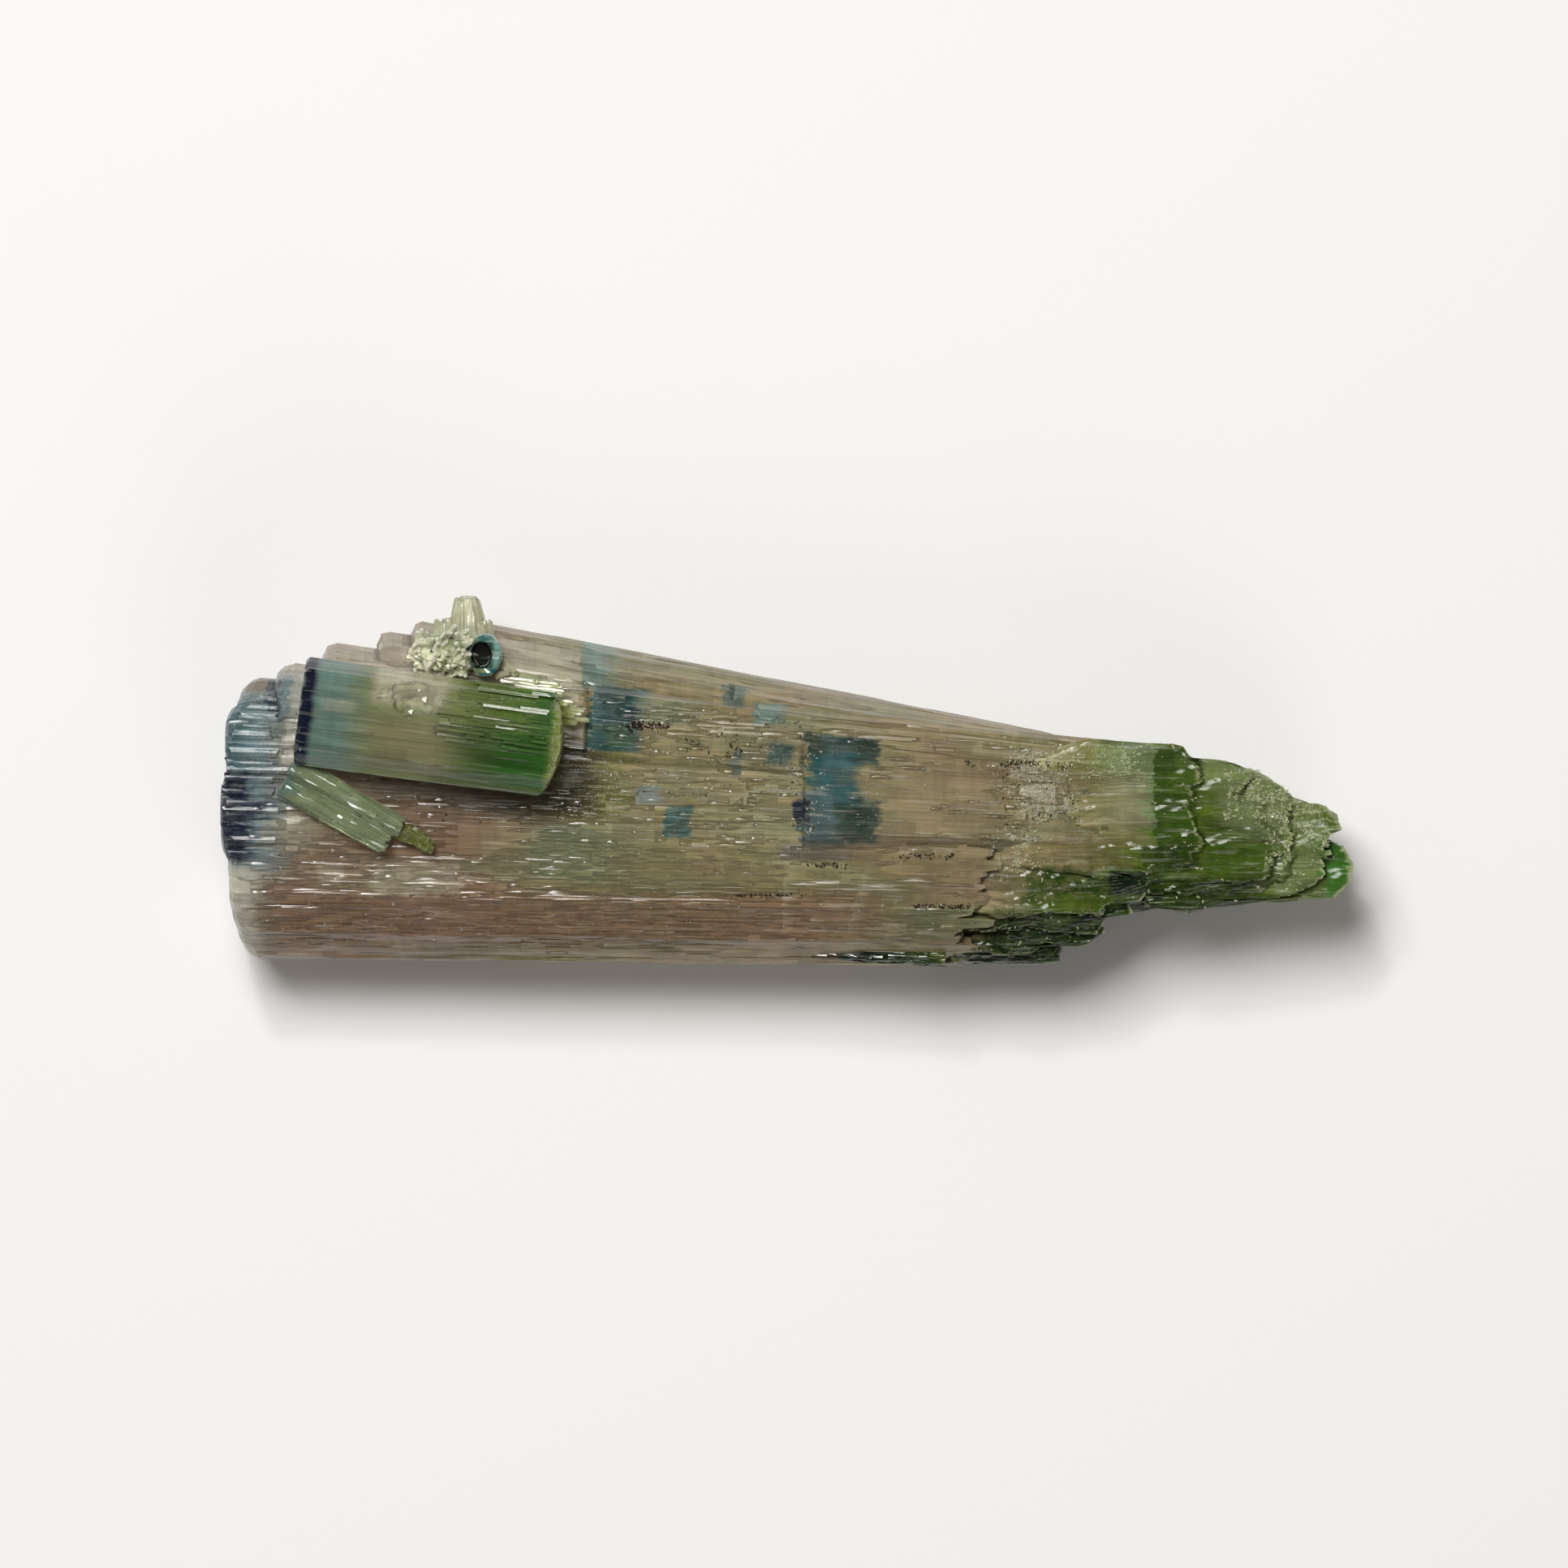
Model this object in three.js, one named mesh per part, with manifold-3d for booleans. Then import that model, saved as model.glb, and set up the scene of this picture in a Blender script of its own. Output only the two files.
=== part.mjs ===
// Tourmaline crystal: a bundle of striated columns grown side by side into one solid.
// Millimetres, +X along the crystal towards its green end, +Z up, resting on a flat prism face at z = 0.
import * as THREE from 'three';
import { mergeVertices } from 'three/addons/utils/BufferGeometryUtils.js';
import Module from 'manifold-3d';

const wasm = await Module();
wasm.setup();

// Driving dimensions
const LEFT_END = -34.9;
const RIGHT_END = 34.8;
const TOP = 11.2;
const RIDGE_PITCH = 1.1;
const RIDGE_RELIEF = 0.11;
const RIDGE_STRAY = 0.3;
const LAYER_RELIEF = 0.176;
const ROUND_ALONG = 0.35;
const ROUND_INSET = 0.3;
const SMALLEST_STEP = 1e-4;
const RANDOM_STRIDE = 0x6d2b79f5;
const SEED = 20417;

// Columns that run the length of the crystal. An outline is the cross-section at the left end, with its
// corners as [across, height]. The far end is the same outline, scaled and shifted.
const COLUMNS = {
  main: {
    from: LEFT_END + 0.45,
    to: 13.6,
    outline: [
      [-6.6, 0], [-9.5, 2.0], [-10.95, 5.4], [-10.5, 7.7], [-8.9, 9.6], [-6.9, 10.7], [-3.0, TOP],
      [2.2, TOP + 0.1], [4.8, 10.3], [6.2, 8.0], [6.4, 4.8], [5.2, 2.0], [2.8, 0],
    ],
    farScale: [0.84, 1],
    farShift: [-2.25, 0],
    round: 0.6,
    bowed: 1.3,
    undercut: 4.5,
  },
  innerBack: {
    from: -31.3,
    to: 12,
    outline: [[0.5, 1.3], [4.6, 1.6], [6.4, 3.6], [7.3, 6.4], [6.2, 9.2], [3.6, 10.5], [0.5, 9.6]],
    farScale: [0.62, 0.9],
    farShift: [-2.0, 0.4],
    round: 0.9,
  },
  secondBack: {
    from: -28.9,
    to: 14,
    outline: [[2.5, 1.5], [6.6, 2.2], [8.4, 4.6], [8.7, 6.6], [7.6, 8.9], [4.4, 10.2], [2.5, 9.4]],
    farScale: [0.6, 0.85],
    farShift: [-2.3, 0.6],
    round: 1.1,
  },
  thirdBack: {
    from: -25.4,
    to: 15,
    outline: [[3, 1.6], [7.4, 2.4], [9.1, 4.6], [9.4, 6.2], [8.5, 8.0], [5.2, 9.8], [3, 9.2]],
    farScale: [0.6, 0.82],
    farShift: [-2.75, 0.8],
    round: 0.9,
  },
  fourthBack: {
    from: -23.5,
    to: 15.6,
    outline: [[3, 1.8], [7.8, 2.3], [9.6, 4.4], [9.95, 5.8], [9.2, 7.4], [6.0, 9.5], [3, 9.2]],
    farScale: [0.6, 0.8],
    farShift: [-2.95, 1.0],
    round: 0.8,
  },
  outerBack: {
    from: -21.4,
    to: 17.2,
    outline: [
      [3, 2.0], [8.2, 2.6], [9.9, 4.3], [10.3, 5.8], [9.9, 7.4], [8.6, 9.2], [7.0, 10.4], [5.2, TOP],
      [3, TOP + 0.1],
    ],
    farScale: [0.6, 0.85],
    farShift: [-3.4, 1.6],
    round: 0.7,
  },
  backPanel: {
    from: -12.65,
    to: 9,
    outline: [[4.4, 8.0], [7.2, 6.4], [8.2, 6.9], [7.4, 8.7], [5.8, 10.3], [4.2, 11.1]],
    farScale: [0.84, 0.98],
    farShift: [-3.0, 0.2],
    round: 0.2,
  },
  backRidge: {
    from: -3.6,
    to: 13,
    outline: [[3.2, 8], [5.9, 8.0], [5.97, 8.75], [5.45, 9.65], [4.5, 10.5], [3.2, TOP]],
    farScale: [0.7, 0.98],
    farShift: [-1.03, -0.1],
    round: 0.2,
  },
  backShoulder: {
    from: -2.05,
    to: 18.5,
    outline: [[1.4, 9], [4.6, 9.2], [4.72, 10.4], [4.3, 10.95], [2.4, TOP + 0.45], [1.4, TOP]],
    farScale: [0.75, 0.95],
    farShift: [-0.95, 0],
    round: 0.2,
  },
  raisedNarrow: {
    from: -12.4,
    to: 17.5,
    outline: [
      [0.8, 8], [5.4, 8.2], [5.8, 10.6], [5.35, 11.45], [3.4, 11.75], [1.8, 11.65], [1.1, 10.9],
    ],
    farScale: [0.75, 0.95],
    farShift: [-2.2, 0],
    round: 0.25,
  },
  raisedBig: {
    from: 0.85,
    to: 20.5,
    outline: [[-4.6, 8.5], [2.4, 8.5], [3.0, 10.9], [2.3, 11.9], [-3.2, 12.2], [-4.2, 11.3]],
    farScale: [0.82, 0.94],
    farShift: [-1.2, -0.1],
    round: 0.45,
  },
  tipCore: {
    from: 6,
    to: 32.4,
    outline: [
      [-3.4, 0.9], [-7.6, 2.6], [-9.4, 5.6], [-8.2, 8.6], [-4.4, 10.2], [0.6, 10.3], [3.4, 8.4],
      [4.2, 5.6], [1.2, 2.0],
    ],
    farScale: [0.44, 0.36],
    farShift: [-3.1, 4.7],
    round: 0.8,
  },
  leftRidged: {
    from: LEFT_END + 0.3,
    to: -20,
    outline: [
      [-0.8, 7.2], [3.6, 7.6], [5.0, 9.2], [5.1, 10.6], [3.9, 11.9], [1.8, 12.2], [0.3, 11.8],
      [-0.4, 10.6],
    ],
    farScale: [1, 0.95],
    farShift: [-1.0, -0.3],
    round: 0.55,
    bowed: 1.1,
    relief: 0.24,
  },
  leftNavy: {
    from: LEFT_END,
    to: -22,
    outline: [[-5.0, 3.4], [0.2, 3.4], [0.7, 9.6], [-0.2, 11.7], [-3.6, 11.6], [-5.2, 10.2]],
    farScale: [1, 0.95],
    farShift: [0, -0.2],
    round: 0.4,
    bowed: 0.5,
  },
  leftUpper: {
    from: -31.6,
    to: -20,
    outline: [[3.4, 6.2], [6.4, 7.0], [7.2, 9.0], [6.3, 11.2], [4.6, 11.9], [3.0, 11.0]],
    farScale: [1, 0.9],
    farShift: [-1.0, 0],
    round: 0.5,
    bowed: 0.5,
  },
};

// Low steps on the top of the main body: [left x, right x, front y, back y, top z]
const TOP_STEPS = [
  [-7.5, 3.0, -3.45, -1.5, TOP + 0.42],
  [-9.25, -2.0, -1.4, -0.35, TOP + 0.3],
  [-1.25, 2.0, 0.95, 2.3, TOP + 0.38],
  [-3.6, -1.9, 1.0, 1.9, TOP + 0.3],
  [-0.6, 4.0, -4.9, -3.9, TOP + 0.3],
  [-16.2, 0.5, -5.9, -2.4, TOP + 0.2],
];
const STEP_DEPTH = 1.6;
const STEP_BEVEL = 0.12;

// Flat layers of the etched right end, as seen from above: corners [x, y], then the lowest and highest z
const TIP_LAYERS = [
  {
    bottom: 8.9,
    top: 11.1,
    corners: [
      [12, 3.2], [17.4, 2.8], [20.7, 2.4], [24.3, 2.2], [24.85, 1.4], [25.3, 0.5], [25.05, -1.1],
      [25.4, -3.1], [24.9, -5.2], [22.1, -5.4], [19, -5.9], [12, -5.2],
    ],
  },
  {
    bottom: 8.3,
    top: 10.4,
    corners: [
      [18, 1.9], [24.8, 1.4], [27.5, 1.1], [28.4, 0.2], [27.7, -0.9], [28.9, -1.3], [29.6, -3.0],
      [30.3, -4.3], [29.5, -5.7], [28.0, -6.3], [22.2, -6.2], [18, -5],
    ],
  },
  {
    bottom: 7.6,
    top: 9.7,
    corners: [
      [22, 1.2], [28.0, 1.05], [29.6, 0.3], [30.9, -0.8], [31.0, -3.2], [31.4, -4.6], [30.6, -5.9],
      [29.0, -6.8], [26, -7.1], [22, -6.8],
    ],
  },
  {
    bottom: 6.7,
    top: 9.0,
    corners: [
      [24, 0.9], [29.4, 0.2], [31.7, -1.3], [33.2, -1.55], [33.95, -2.4], [34.1, -3.0], [33.4, -3.35],
      [33.1, -4.8], [32.6, -6.2], [31.2, -7.1], [28.8, -7.3], [26.5, -7.65], [24.5, -8.2], [22, -7.8],
      [21, -6],
    ],
  },
  {
    bottom: 6.2,
    top: 8.2,
    corners: [
      [30, -3.0], [33.3, -3.45], [34.4, -4.1], [RIGHT_END, -5.1], [34.5, -6.2], [33.7, -7.25],
      [31.2, -7.2], [30, -6.5],
    ],
  },
  {
    bottom: 5.4,
    top: 7.2,
    corners: [
      [20, 1.4], [26.2, 0.7], [29.0, -0.4], [31.4, -1.9], [32.9, -3.3], [33.7, -4.8], [33.0, -6.4],
      [30.4, -6.9], [27.1, -7.2], [24.7, -7.7], [21.6, -7.2],
    ],
  },
  {
    bottom: 4.3,
    top: 5.8,
    corners: [
      [18, 0.6], [22.9, 0.1], [26.6, -1.0], [29.9, -2.4], [31.2, -4.1], [30.1, -5.8], [26.8, -6.6],
      [18, -7.4],
    ],
  },
];
const LAYER_BEVEL = 0.18;

// Ragged flakes where the main body ends below the tip, in the same form
const FLAKES = [
  {
    bottom: 8.6,
    top: 10.4,
    corners: [
      [10, -3.2], [21.6, -4.0], [21.95, -5.3], [22.3, -6.3], [21.6, -7.4], [20.2, -7.6], [19.4, -8.4],
      [16.5, -8.2], [10, -8.2],
    ],
  },
  {
    bottom: 7.3,
    top: 9.3,
    corners: [
      [10, -6], [20.4, -6.8], [21.3, -8.2], [19.6, -8.5], [19.0, -9.4], [15.6, -9.2], [10, -9.4],
    ],
  },
  {
    bottom: 5.9,
    top: 8.0,
    corners: [
      [9, -7], [19.2, -8.2], [19.5, -9.4], [18.3, -10.2], [15.8, -10.2], [14.8, -10.7], [9, -10.4],
    ],
  },
  {
    bottom: 3.9,
    top: 6.7,
    corners: [
      [8, -8], [16.2, -9.4], [17.0, -10.5], [16.5, -10.95], [15.1, -11.25], [12.4, -11.2], [8, -11.3],
    ],
  },
  {
    bottom: 3.2,
    top: 7.4,
    corners: [[8, -4], [19.6, -5.0], [20.4, -6.6], [18.2, -8.3], [17.6, -9.5], [15.0, -9.9], [8, -9.9]],
  },
  {
    bottom: 1.6,
    top: 5.2,
    corners: [[4, -2], [15.8, -4.2], [16.6, -6.3], [15.4, -7.4], [15.9, -8.8], [13.8, -9.7], [4, -9.4]],
  },
];

// Thin rods: from one end to the other, with the widths at both ends and the flattening of the section
const RODS = [
  {
    name: 'upper splinter',
    from: [-30.6, 0.8, 11.6],
    to: [-23.7, -3.1, 12.2],
    wide: [0.85, 0.75],
    flat: 0.8,
    sides: 6,
  },
  {
    name: 'upper splinter tail',
    from: [-25, -2.4, 12.0],
    to: [-21.7, -4.2, 11.7],
    wide: [0.62, 0.45],
    flat: 0.9,
    sides: 6,
  },
  {
    name: 'lower splinter',
    from: [-31.1, -0.2, 11.6],
    to: [-24.5, -3.85, 12.3],
    wide: [0.85, 0.7],
    flat: 0.85,
    sides: 6,
  },
  {
    name: 'knob',
    from: [-19.6, 7.4, 7.4],
    to: [-19.75, 11.45, 8.0],
    wide: [1.75, 0.75],
    flat: 0.9,
    sides: 8,
  },
  {
    name: 'knob shoulder',
    from: [-20.8, 7.2, 7.8],
    to: [-21.2, 10.1, 8.2],
    wide: [1.2, 0.6],
    flat: 0.9,
    sides: 7,
  },
  {
    name: 'first chip',
    from: [-17.6, 5.6, 11.4],
    to: [-13.2, 5.05, 12.3],
    wide: [0.7, 0.66],
    flat: 0.7,
    sides: 6,
  },
  {
    name: 'chip beside it',
    from: [-17.4, 6.3, 11.0],
    to: [-15.1, 6.05, 12.1],
    wide: [0.6, 0.45],
    flat: 0.8,
    sides: 5,
  },
  {
    name: 'second chip',
    from: [-15.4, 4.3, 11.3],
    to: [-12.2, 3.95, 12.3],
    wide: [0.68, 0.62],
    flat: 0.7,
    sides: 6,
  },
  {
    name: 'front blade',
    from: [0.5, -10.0, 6.6],
    to: [9.8, -10.85, 7.0],
    wide: [0.9, 0.55],
    flat: 1.1,
    sides: 6,
  },
  {
    name: 'front blade below',
    from: [10.0, -10.2, 5.6],
    to: [16.8, -10.7, 6.0],
    wide: [0.9, 0.5],
    flat: 1.2,
    sides: 6,
  },
];

// The perched crystal: an outline [across, height] about its axis, and that axis's ends seen from above
const PERCHED = {
  left: [-29.95, 4.35],
  right: [-13.75, 2.15],
  rise: 0.9,
  outline: [
    [-3.35, 12.7], [-2.2, 13.9], [0.25, 15.2], [1.5, 15.35], [2.6, 14.5], [3.3, 12.9], [3.1, 11.0],
    [1.0, 9.8], [-1.4, 10.2], [-2.9, 11.6],
  ],
  bevel: 0.9,
  round: 0.3,
  farScale: 0.96,
};
const PERCHED_SCAR = { centre: [-22.8, 5.6, 16.6], radius: 2.0 };
const PERCHED_CORNER = { centre: [-13.2, 6.0, 15.6], radius: 1.9 };

// The lump of small crystals between the perched crystal and the knob
const LUMP = {
  centre: [-21.0, 7.7, 10.0],
  spread: [2.3, 1.45, 2.2],
  low: [-0.8, -0.6, 0.2],
  high: 0.7,
  count: 30,
  length: 1.3,
  shortest: 0.5,
  lift: [0.1, 1.2],
  width: 0.55,
  widths: [0.6, 1.3],
  taper: 0.55,
  flat: 0.8,
  sides: 5,
};

// The hollow crystal in front of the lump: a tube open at its upper end
const TUBE = {
  centre: [-18.55, 7.7, 8.6],
  outer: 1.05,
  wall: 0.34,
  depth: 1.3,
  height: 4.0,
  stretch: 1.3,
  sides: 8,
};

// Seeded random numbers from 0 to 1
let state = SEED;
function random() {
  state = (state + RANDOM_STRIDE) | 0;
  let mixed = Math.imul(state ^ (state >>> 15), 1 | state);
  mixed = (mixed + Math.imul(mixed ^ (mixed >>> 7), 61 | mixed)) ^ mixed;
  return ((mixed ^ (mixed >>> 14)) >>> 0) / 2 ** 32;
}

const lerp = THREE.MathUtils.lerp;
const between = (low, high) => lerp(low, high, random());

// An outline with ridges along its edges, as the striations of the prism faces
function ridged(corners, relief) {
  const area = THREE.ShapeUtils.area(corners.map(([x, y]) => new THREE.Vector2(x, y)));
  const ordered = area > 0 ? corners : [...corners].reverse();
  return ordered.flatMap(([x, y], index) => {
    const [nextX, nextY] = ordered[(index + 1) % ordered.length];
    const length = Math.hypot(nextX - x, nextY - y);
    const pieces = Math.max(1, Math.round(length / RIDGE_PITCH));
    const outward = [(nextY - y) / length, (x - nextX) / length];
    return Array.from({ length: pieces }, (_, piece) => {
      const along = piece === 0 ? 0 : (piece + between(-RIDGE_STRAY, RIDGE_STRAY)) / pieces;
      const out = piece === 0 || (y === 0 && nextY === 0) ? 0 : between(-relief, relief);
      return [lerp(x, nextX, along) + outward[0] * out, lerp(y, nextY, along) + outward[1] * out];
    });
  });
}

// A closed mesh's geometry as a solid that can be joined and cut
function solidOf(geometry) {
  const bare = geometry.index ? geometry.toNonIndexed() : geometry.clone();
  bare.deleteAttribute('normal');
  bare.deleteAttribute('uv');
  const merged = mergeVertices(bare, SMALLEST_STEP);
  const mesh = new wasm.Mesh({
    numProp: 3,
    vertProperties: new Float32Array(merged.attributes.position.array),
    triVerts: new Uint32Array(merged.index.array),
  });
  return new wasm.Manifold(mesh);
}

// Move every point of a geometry by a rule
function reshape(geometry, rule) {
  const position = geometry.attributes.position;
  const point = new THREE.Vector3();
  for (let index = 0; index < position.count; index += 1) {
    point.fromBufferAttribute(position, index);
    rule(point);
    position.setXYZ(index, point.x, point.y, point.z);
  }
  return geometry;
}

// A prism along +X from an outline in the across and height plane, with its ends rounded
function prism(outline, length, round) {
  const shape = new THREE.Shape(outline.map(([across, height]) => new THREE.Vector2(across, height)));
  const box = new THREE.Box2().setFromPoints(shape.getPoints());
  const middle = box.getCenter(new THREE.Vector2());
  const half = box.getSize(new THREE.Vector2()).multiplyScalar(0.5);
  const rings = [
    [0, round],
    [round * ROUND_ALONG, round * ROUND_INSET],
    [round, 0],
    [length - round, 0],
    [length - round * ROUND_ALONG, round * ROUND_INSET],
    [length, round],
  ];
  const steps = rings.length - 1;
  const geometry = new THREE.ExtrudeGeometry(shape, { depth: 1, steps, bevelEnabled: false });
  return reshape(geometry, (point) => {
    const [along, inset] = rings[Math.round(point.z * steps)];
    const across = middle.x + (point.x - middle.x) * (1 - inset / half.x);
    const height = middle.y + (point.y - middle.y) * (1 - inset / half.y);
    point.set(along, across, height);
  });
}

// One of the long columns. A bowed left end reaches furthest at its middle, and an undercut right end
// reaches furthest at its top.
function column(shape) {
  const { from, to, outline, farScale, farShift, round } = shape;
  const { bowed = 0, undercut = 0, relief = RIDGE_RELIEF } = shape;
  const length = to - from;
  const across = outline.map((corner) => corner[0]);
  const middle = (Math.min(...across) + Math.max(...across)) / 2;
  const half = (Math.max(...across) - Math.min(...across)) / 2;
  const geometry = reshape(prism(ridged(outline, relief), length, round), (point) => {
    const share = point.x / length;
    const bow = bowed * Math.abs((point.y - middle) / half) ** 4;
    const back = undercut * (1 - point.z / TOP);
    point.x = from + lerp(bow, length - back, share);
    point.y = point.y * lerp(1, farScale[0], share) + farShift[0] * share;
    point.z = point.z * lerp(1, farScale[1], share) + farShift[1] * share;
  });
  return solidOf(geometry);
}

// A low step on the top, with its edges bevelled
function topStep([left, right, front, back, top]) {
  const outline = [
    [front, top - STEP_DEPTH],
    [back, top - STEP_DEPTH],
    [back, top - STEP_BEVEL],
    [back - STEP_BEVEL, top],
    [front + STEP_BEVEL, top],
    [front, top - STEP_BEVEL],
  ];
  const geometry = prism(outline, right - left, STEP_BEVEL);
  return solidOf(geometry.translate(left, 0, 0));
}

// A flat layer from its corners seen from above, with ragged edges and bevelled rims
function layer({ corners, bottom, top }) {
  const ragged = ridged(corners, LAYER_RELIEF).map(([x, y]) => new THREE.Vector2(x, y));
  const geometry = new THREE.ExtrudeGeometry(new THREE.Shape(ragged), {
    depth: top - bottom - 2 * LAYER_BEVEL,
    bevelEnabled: true,
    bevelThickness: LAYER_BEVEL,
    bevelSize: LAYER_BEVEL,
    bevelOffset: -LAYER_BEVEL,
    bevelSegments: 1,
  });
  return solidOf(geometry.translate(0, 0, bottom + LAYER_BEVEL));
}

// A rod from one point to another, with a flattened section of few sides
function rod({ from, to, wide, flat, sides }) {
  const start = new THREE.Vector3(...from);
  const end = new THREE.Vector3(...to);
  const along = end.clone().sub(start);
  const geometry = new THREE.CylinderGeometry(wide[1], wide[0], along.length(), sides, 1);
  geometry.scale(1, 1, flat);
  const frame = new THREE.Matrix4();
  const side = new THREE.Vector3(0, 0, 1).cross(along).normalize();
  if (side.lengthSq() === 0) side.set(1, 0, 0);
  frame.makeBasis(side, along.clone().normalize(), side.clone().cross(along).normalize());
  geometry.applyMatrix4(frame);
  geometry.translate(...start.add(end).multiplyScalar(0.5).toArray());
  return solidOf(geometry);
}

// The perched crystal, with its scar and its broken far corner
function perchedCrystal() {
  const axis = new THREE.Vector2(...PERCHED.right).sub(new THREE.Vector2(...PERCHED.left));
  const length = axis.length();
  const straight = prism(ridged(PERCHED.outline, RIDGE_RELIEF), length, PERCHED.round);
  const geometry = reshape(straight, (point) => {
    const share = point.x / length;
    point.y *= lerp(1, PERCHED.farScale, share);
    point.z += PERCHED.rise * share;
    const cut = share > 0.5 ? PERCHED.bevel * Math.abs(point.y / PERCHED.outline[0][0]) ** 2 : 0;
    point.x -= cut;
  });
  geometry.rotateZ(axis.angle());
  geometry.translate(PERCHED.left[0], PERCHED.left[1], 0);
  const bites = [PERCHED_SCAR, PERCHED_CORNER].map(({ centre, radius }) => {
    const bite = new THREE.IcosahedronGeometry(radius, 1);
    return solidOf(bite.translate(...centre));
  });
  return bites.reduce((crystal, bite) => crystal.subtract(bite), solidOf(geometry));
}

// The crumbly lump: small rods in many directions
function lumpCrystals() {
  return Array.from({ length: LUMP.count }, () => {
    const start = LUMP.centre.map((value, axis) => {
      return value + LUMP.spread[axis] * between(LUMP.low[axis], LUMP.high);
    });
    const turn = between(0, 2 * Math.PI);
    const lift = between(...LUMP.lift);
    const reach = LUMP.length * between(LUMP.shortest, 1);
    const end = [
      start[0] + reach * Math.cos(turn) * Math.cos(lift),
      start[1] + reach * Math.sin(turn) * Math.cos(lift),
      start[2] + reach * Math.sin(lift),
    ];
    const width = LUMP.width * between(...LUMP.widths);
    const wide = [width, width * LUMP.taper];
    return rod({ from: start, to: end, wide, flat: LUMP.flat, sides: LUMP.sides });
  });
}

// The body that carries the lump, and the tube crystal with its hollow
function lumpCore() {
  const geometry = new THREE.IcosahedronGeometry(1, 1);
  geometry.scale(...LUMP.spread);
  return solidOf(geometry.translate(...LUMP.centre));
}

function tubeWall(radius, bottom, top) {
  const geometry = new THREE.CylinderGeometry(radius, radius, top - bottom, TUBE.sides);
  geometry.rotateX(Math.PI / 2);
  geometry.scale(1, TUBE.stretch, 1);
  return solidOf(geometry.translate(TUBE.centre[0], TUBE.centre[1], (top + bottom) / 2));
}

function crystalSolid() {
  const rim = TUBE.centre[2] + TUBE.height;
  const hollow = tubeWall(TUBE.outer - TUBE.wall, rim - TUBE.depth, rim + TUBE.depth);
  const grown = [
    ...Object.values(COLUMNS).map(column),
    ...TOP_STEPS.map(topStep),
    ...TIP_LAYERS.map(layer),
    ...FLAKES.map(layer),
    ...RODS.map(rod),
    perchedCrystal(),
    lumpCore(),
    ...lumpCrystals(),
    tubeWall(TUBE.outer, TUBE.centre[2], rim),
  ];
  return grown.reduce((whole, piece) => whole.add(piece)).subtract(hollow);
}

// The solid as a three.js geometry
function geometryOf(solid) {
  const mesh = solid.getMesh();
  const geometry = new THREE.BufferGeometry();
  geometry.setAttribute('position', new THREE.BufferAttribute(new Float32Array(mesh.vertProperties), 3));
  geometry.setIndex(new THREE.BufferAttribute(new Uint32Array(mesh.triVerts), 1));
  geometry.computeVertexNormals();
  return geometry;
}

const tourmaline = new THREE.MeshStandardMaterial({ color: 0x8b8068, roughness: 0.2, metalness: 0 });
const crystal = new THREE.Mesh(geometryOf(crystalSolid()), tourmaline);
crystal.name = 'tourmaline_crystal';

const specimen = new THREE.Group();
specimen.add(crystal);

export default specimen;
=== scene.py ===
"""Tourmaline crystal: a bundle of striated columns, blue at the left end, pink brown inside, green at the right end.

Sizes are millimetres in the crystal's own frame, with +X towards the green end and +Z up. Meshes are made in metres.
"""
import logging
import math
import random
from dataclasses import dataclass, field, replace
from enum import Enum

import bmesh
import bpy
from mathutils import Matrix, Vector, noise
from mathutils.bvhtree import BVHTree


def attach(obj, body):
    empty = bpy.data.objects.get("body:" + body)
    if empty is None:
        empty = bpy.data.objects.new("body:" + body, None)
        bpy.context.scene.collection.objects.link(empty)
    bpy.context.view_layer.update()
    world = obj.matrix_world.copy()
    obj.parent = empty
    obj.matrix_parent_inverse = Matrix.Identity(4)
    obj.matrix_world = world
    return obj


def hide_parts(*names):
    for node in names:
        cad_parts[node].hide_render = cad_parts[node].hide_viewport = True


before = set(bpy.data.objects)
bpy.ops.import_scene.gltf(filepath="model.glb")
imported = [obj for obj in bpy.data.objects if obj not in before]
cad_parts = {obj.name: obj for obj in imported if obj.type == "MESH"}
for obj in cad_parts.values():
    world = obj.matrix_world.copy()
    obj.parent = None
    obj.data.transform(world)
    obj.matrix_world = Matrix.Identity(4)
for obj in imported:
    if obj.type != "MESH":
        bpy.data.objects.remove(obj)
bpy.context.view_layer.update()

log = logging.getLogger("tourmaline")

MM = 0.001
TOP = 11.2
SEED = 20417
NODE = "tourmaline_crystal"
BODY = "root"
SHARP_ANGLE = math.radians(18)
CREST_REACH = 0.25 * MM
CRYSTAL_IOR = 1.63

Outline = tuple[tuple[float, float], ...]
Spot = tuple[float, float, float]


def lerp(low: float, high: float, share: float) -> float:
    """A value on the way from low to high."""
    return low + (high - low) * share


def linear(colour: tuple[int, int, int]) -> tuple[float, float, float, float]:
    """Turn a display colour into the linear colour that a shader takes.

    Args:
        colour: Red, green and blue from 0 to 255.

    Returns:
        The linear colour with an alpha of 1.
    """
    shares = [value / 255 for value in colour]
    parts = [share / 12.92 if share <= 0.04045 else ((share + 0.055) / 1.055) ** 2.4 for share in shares]
    return (parts[0], parts[1], parts[2], 1.0)


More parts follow.
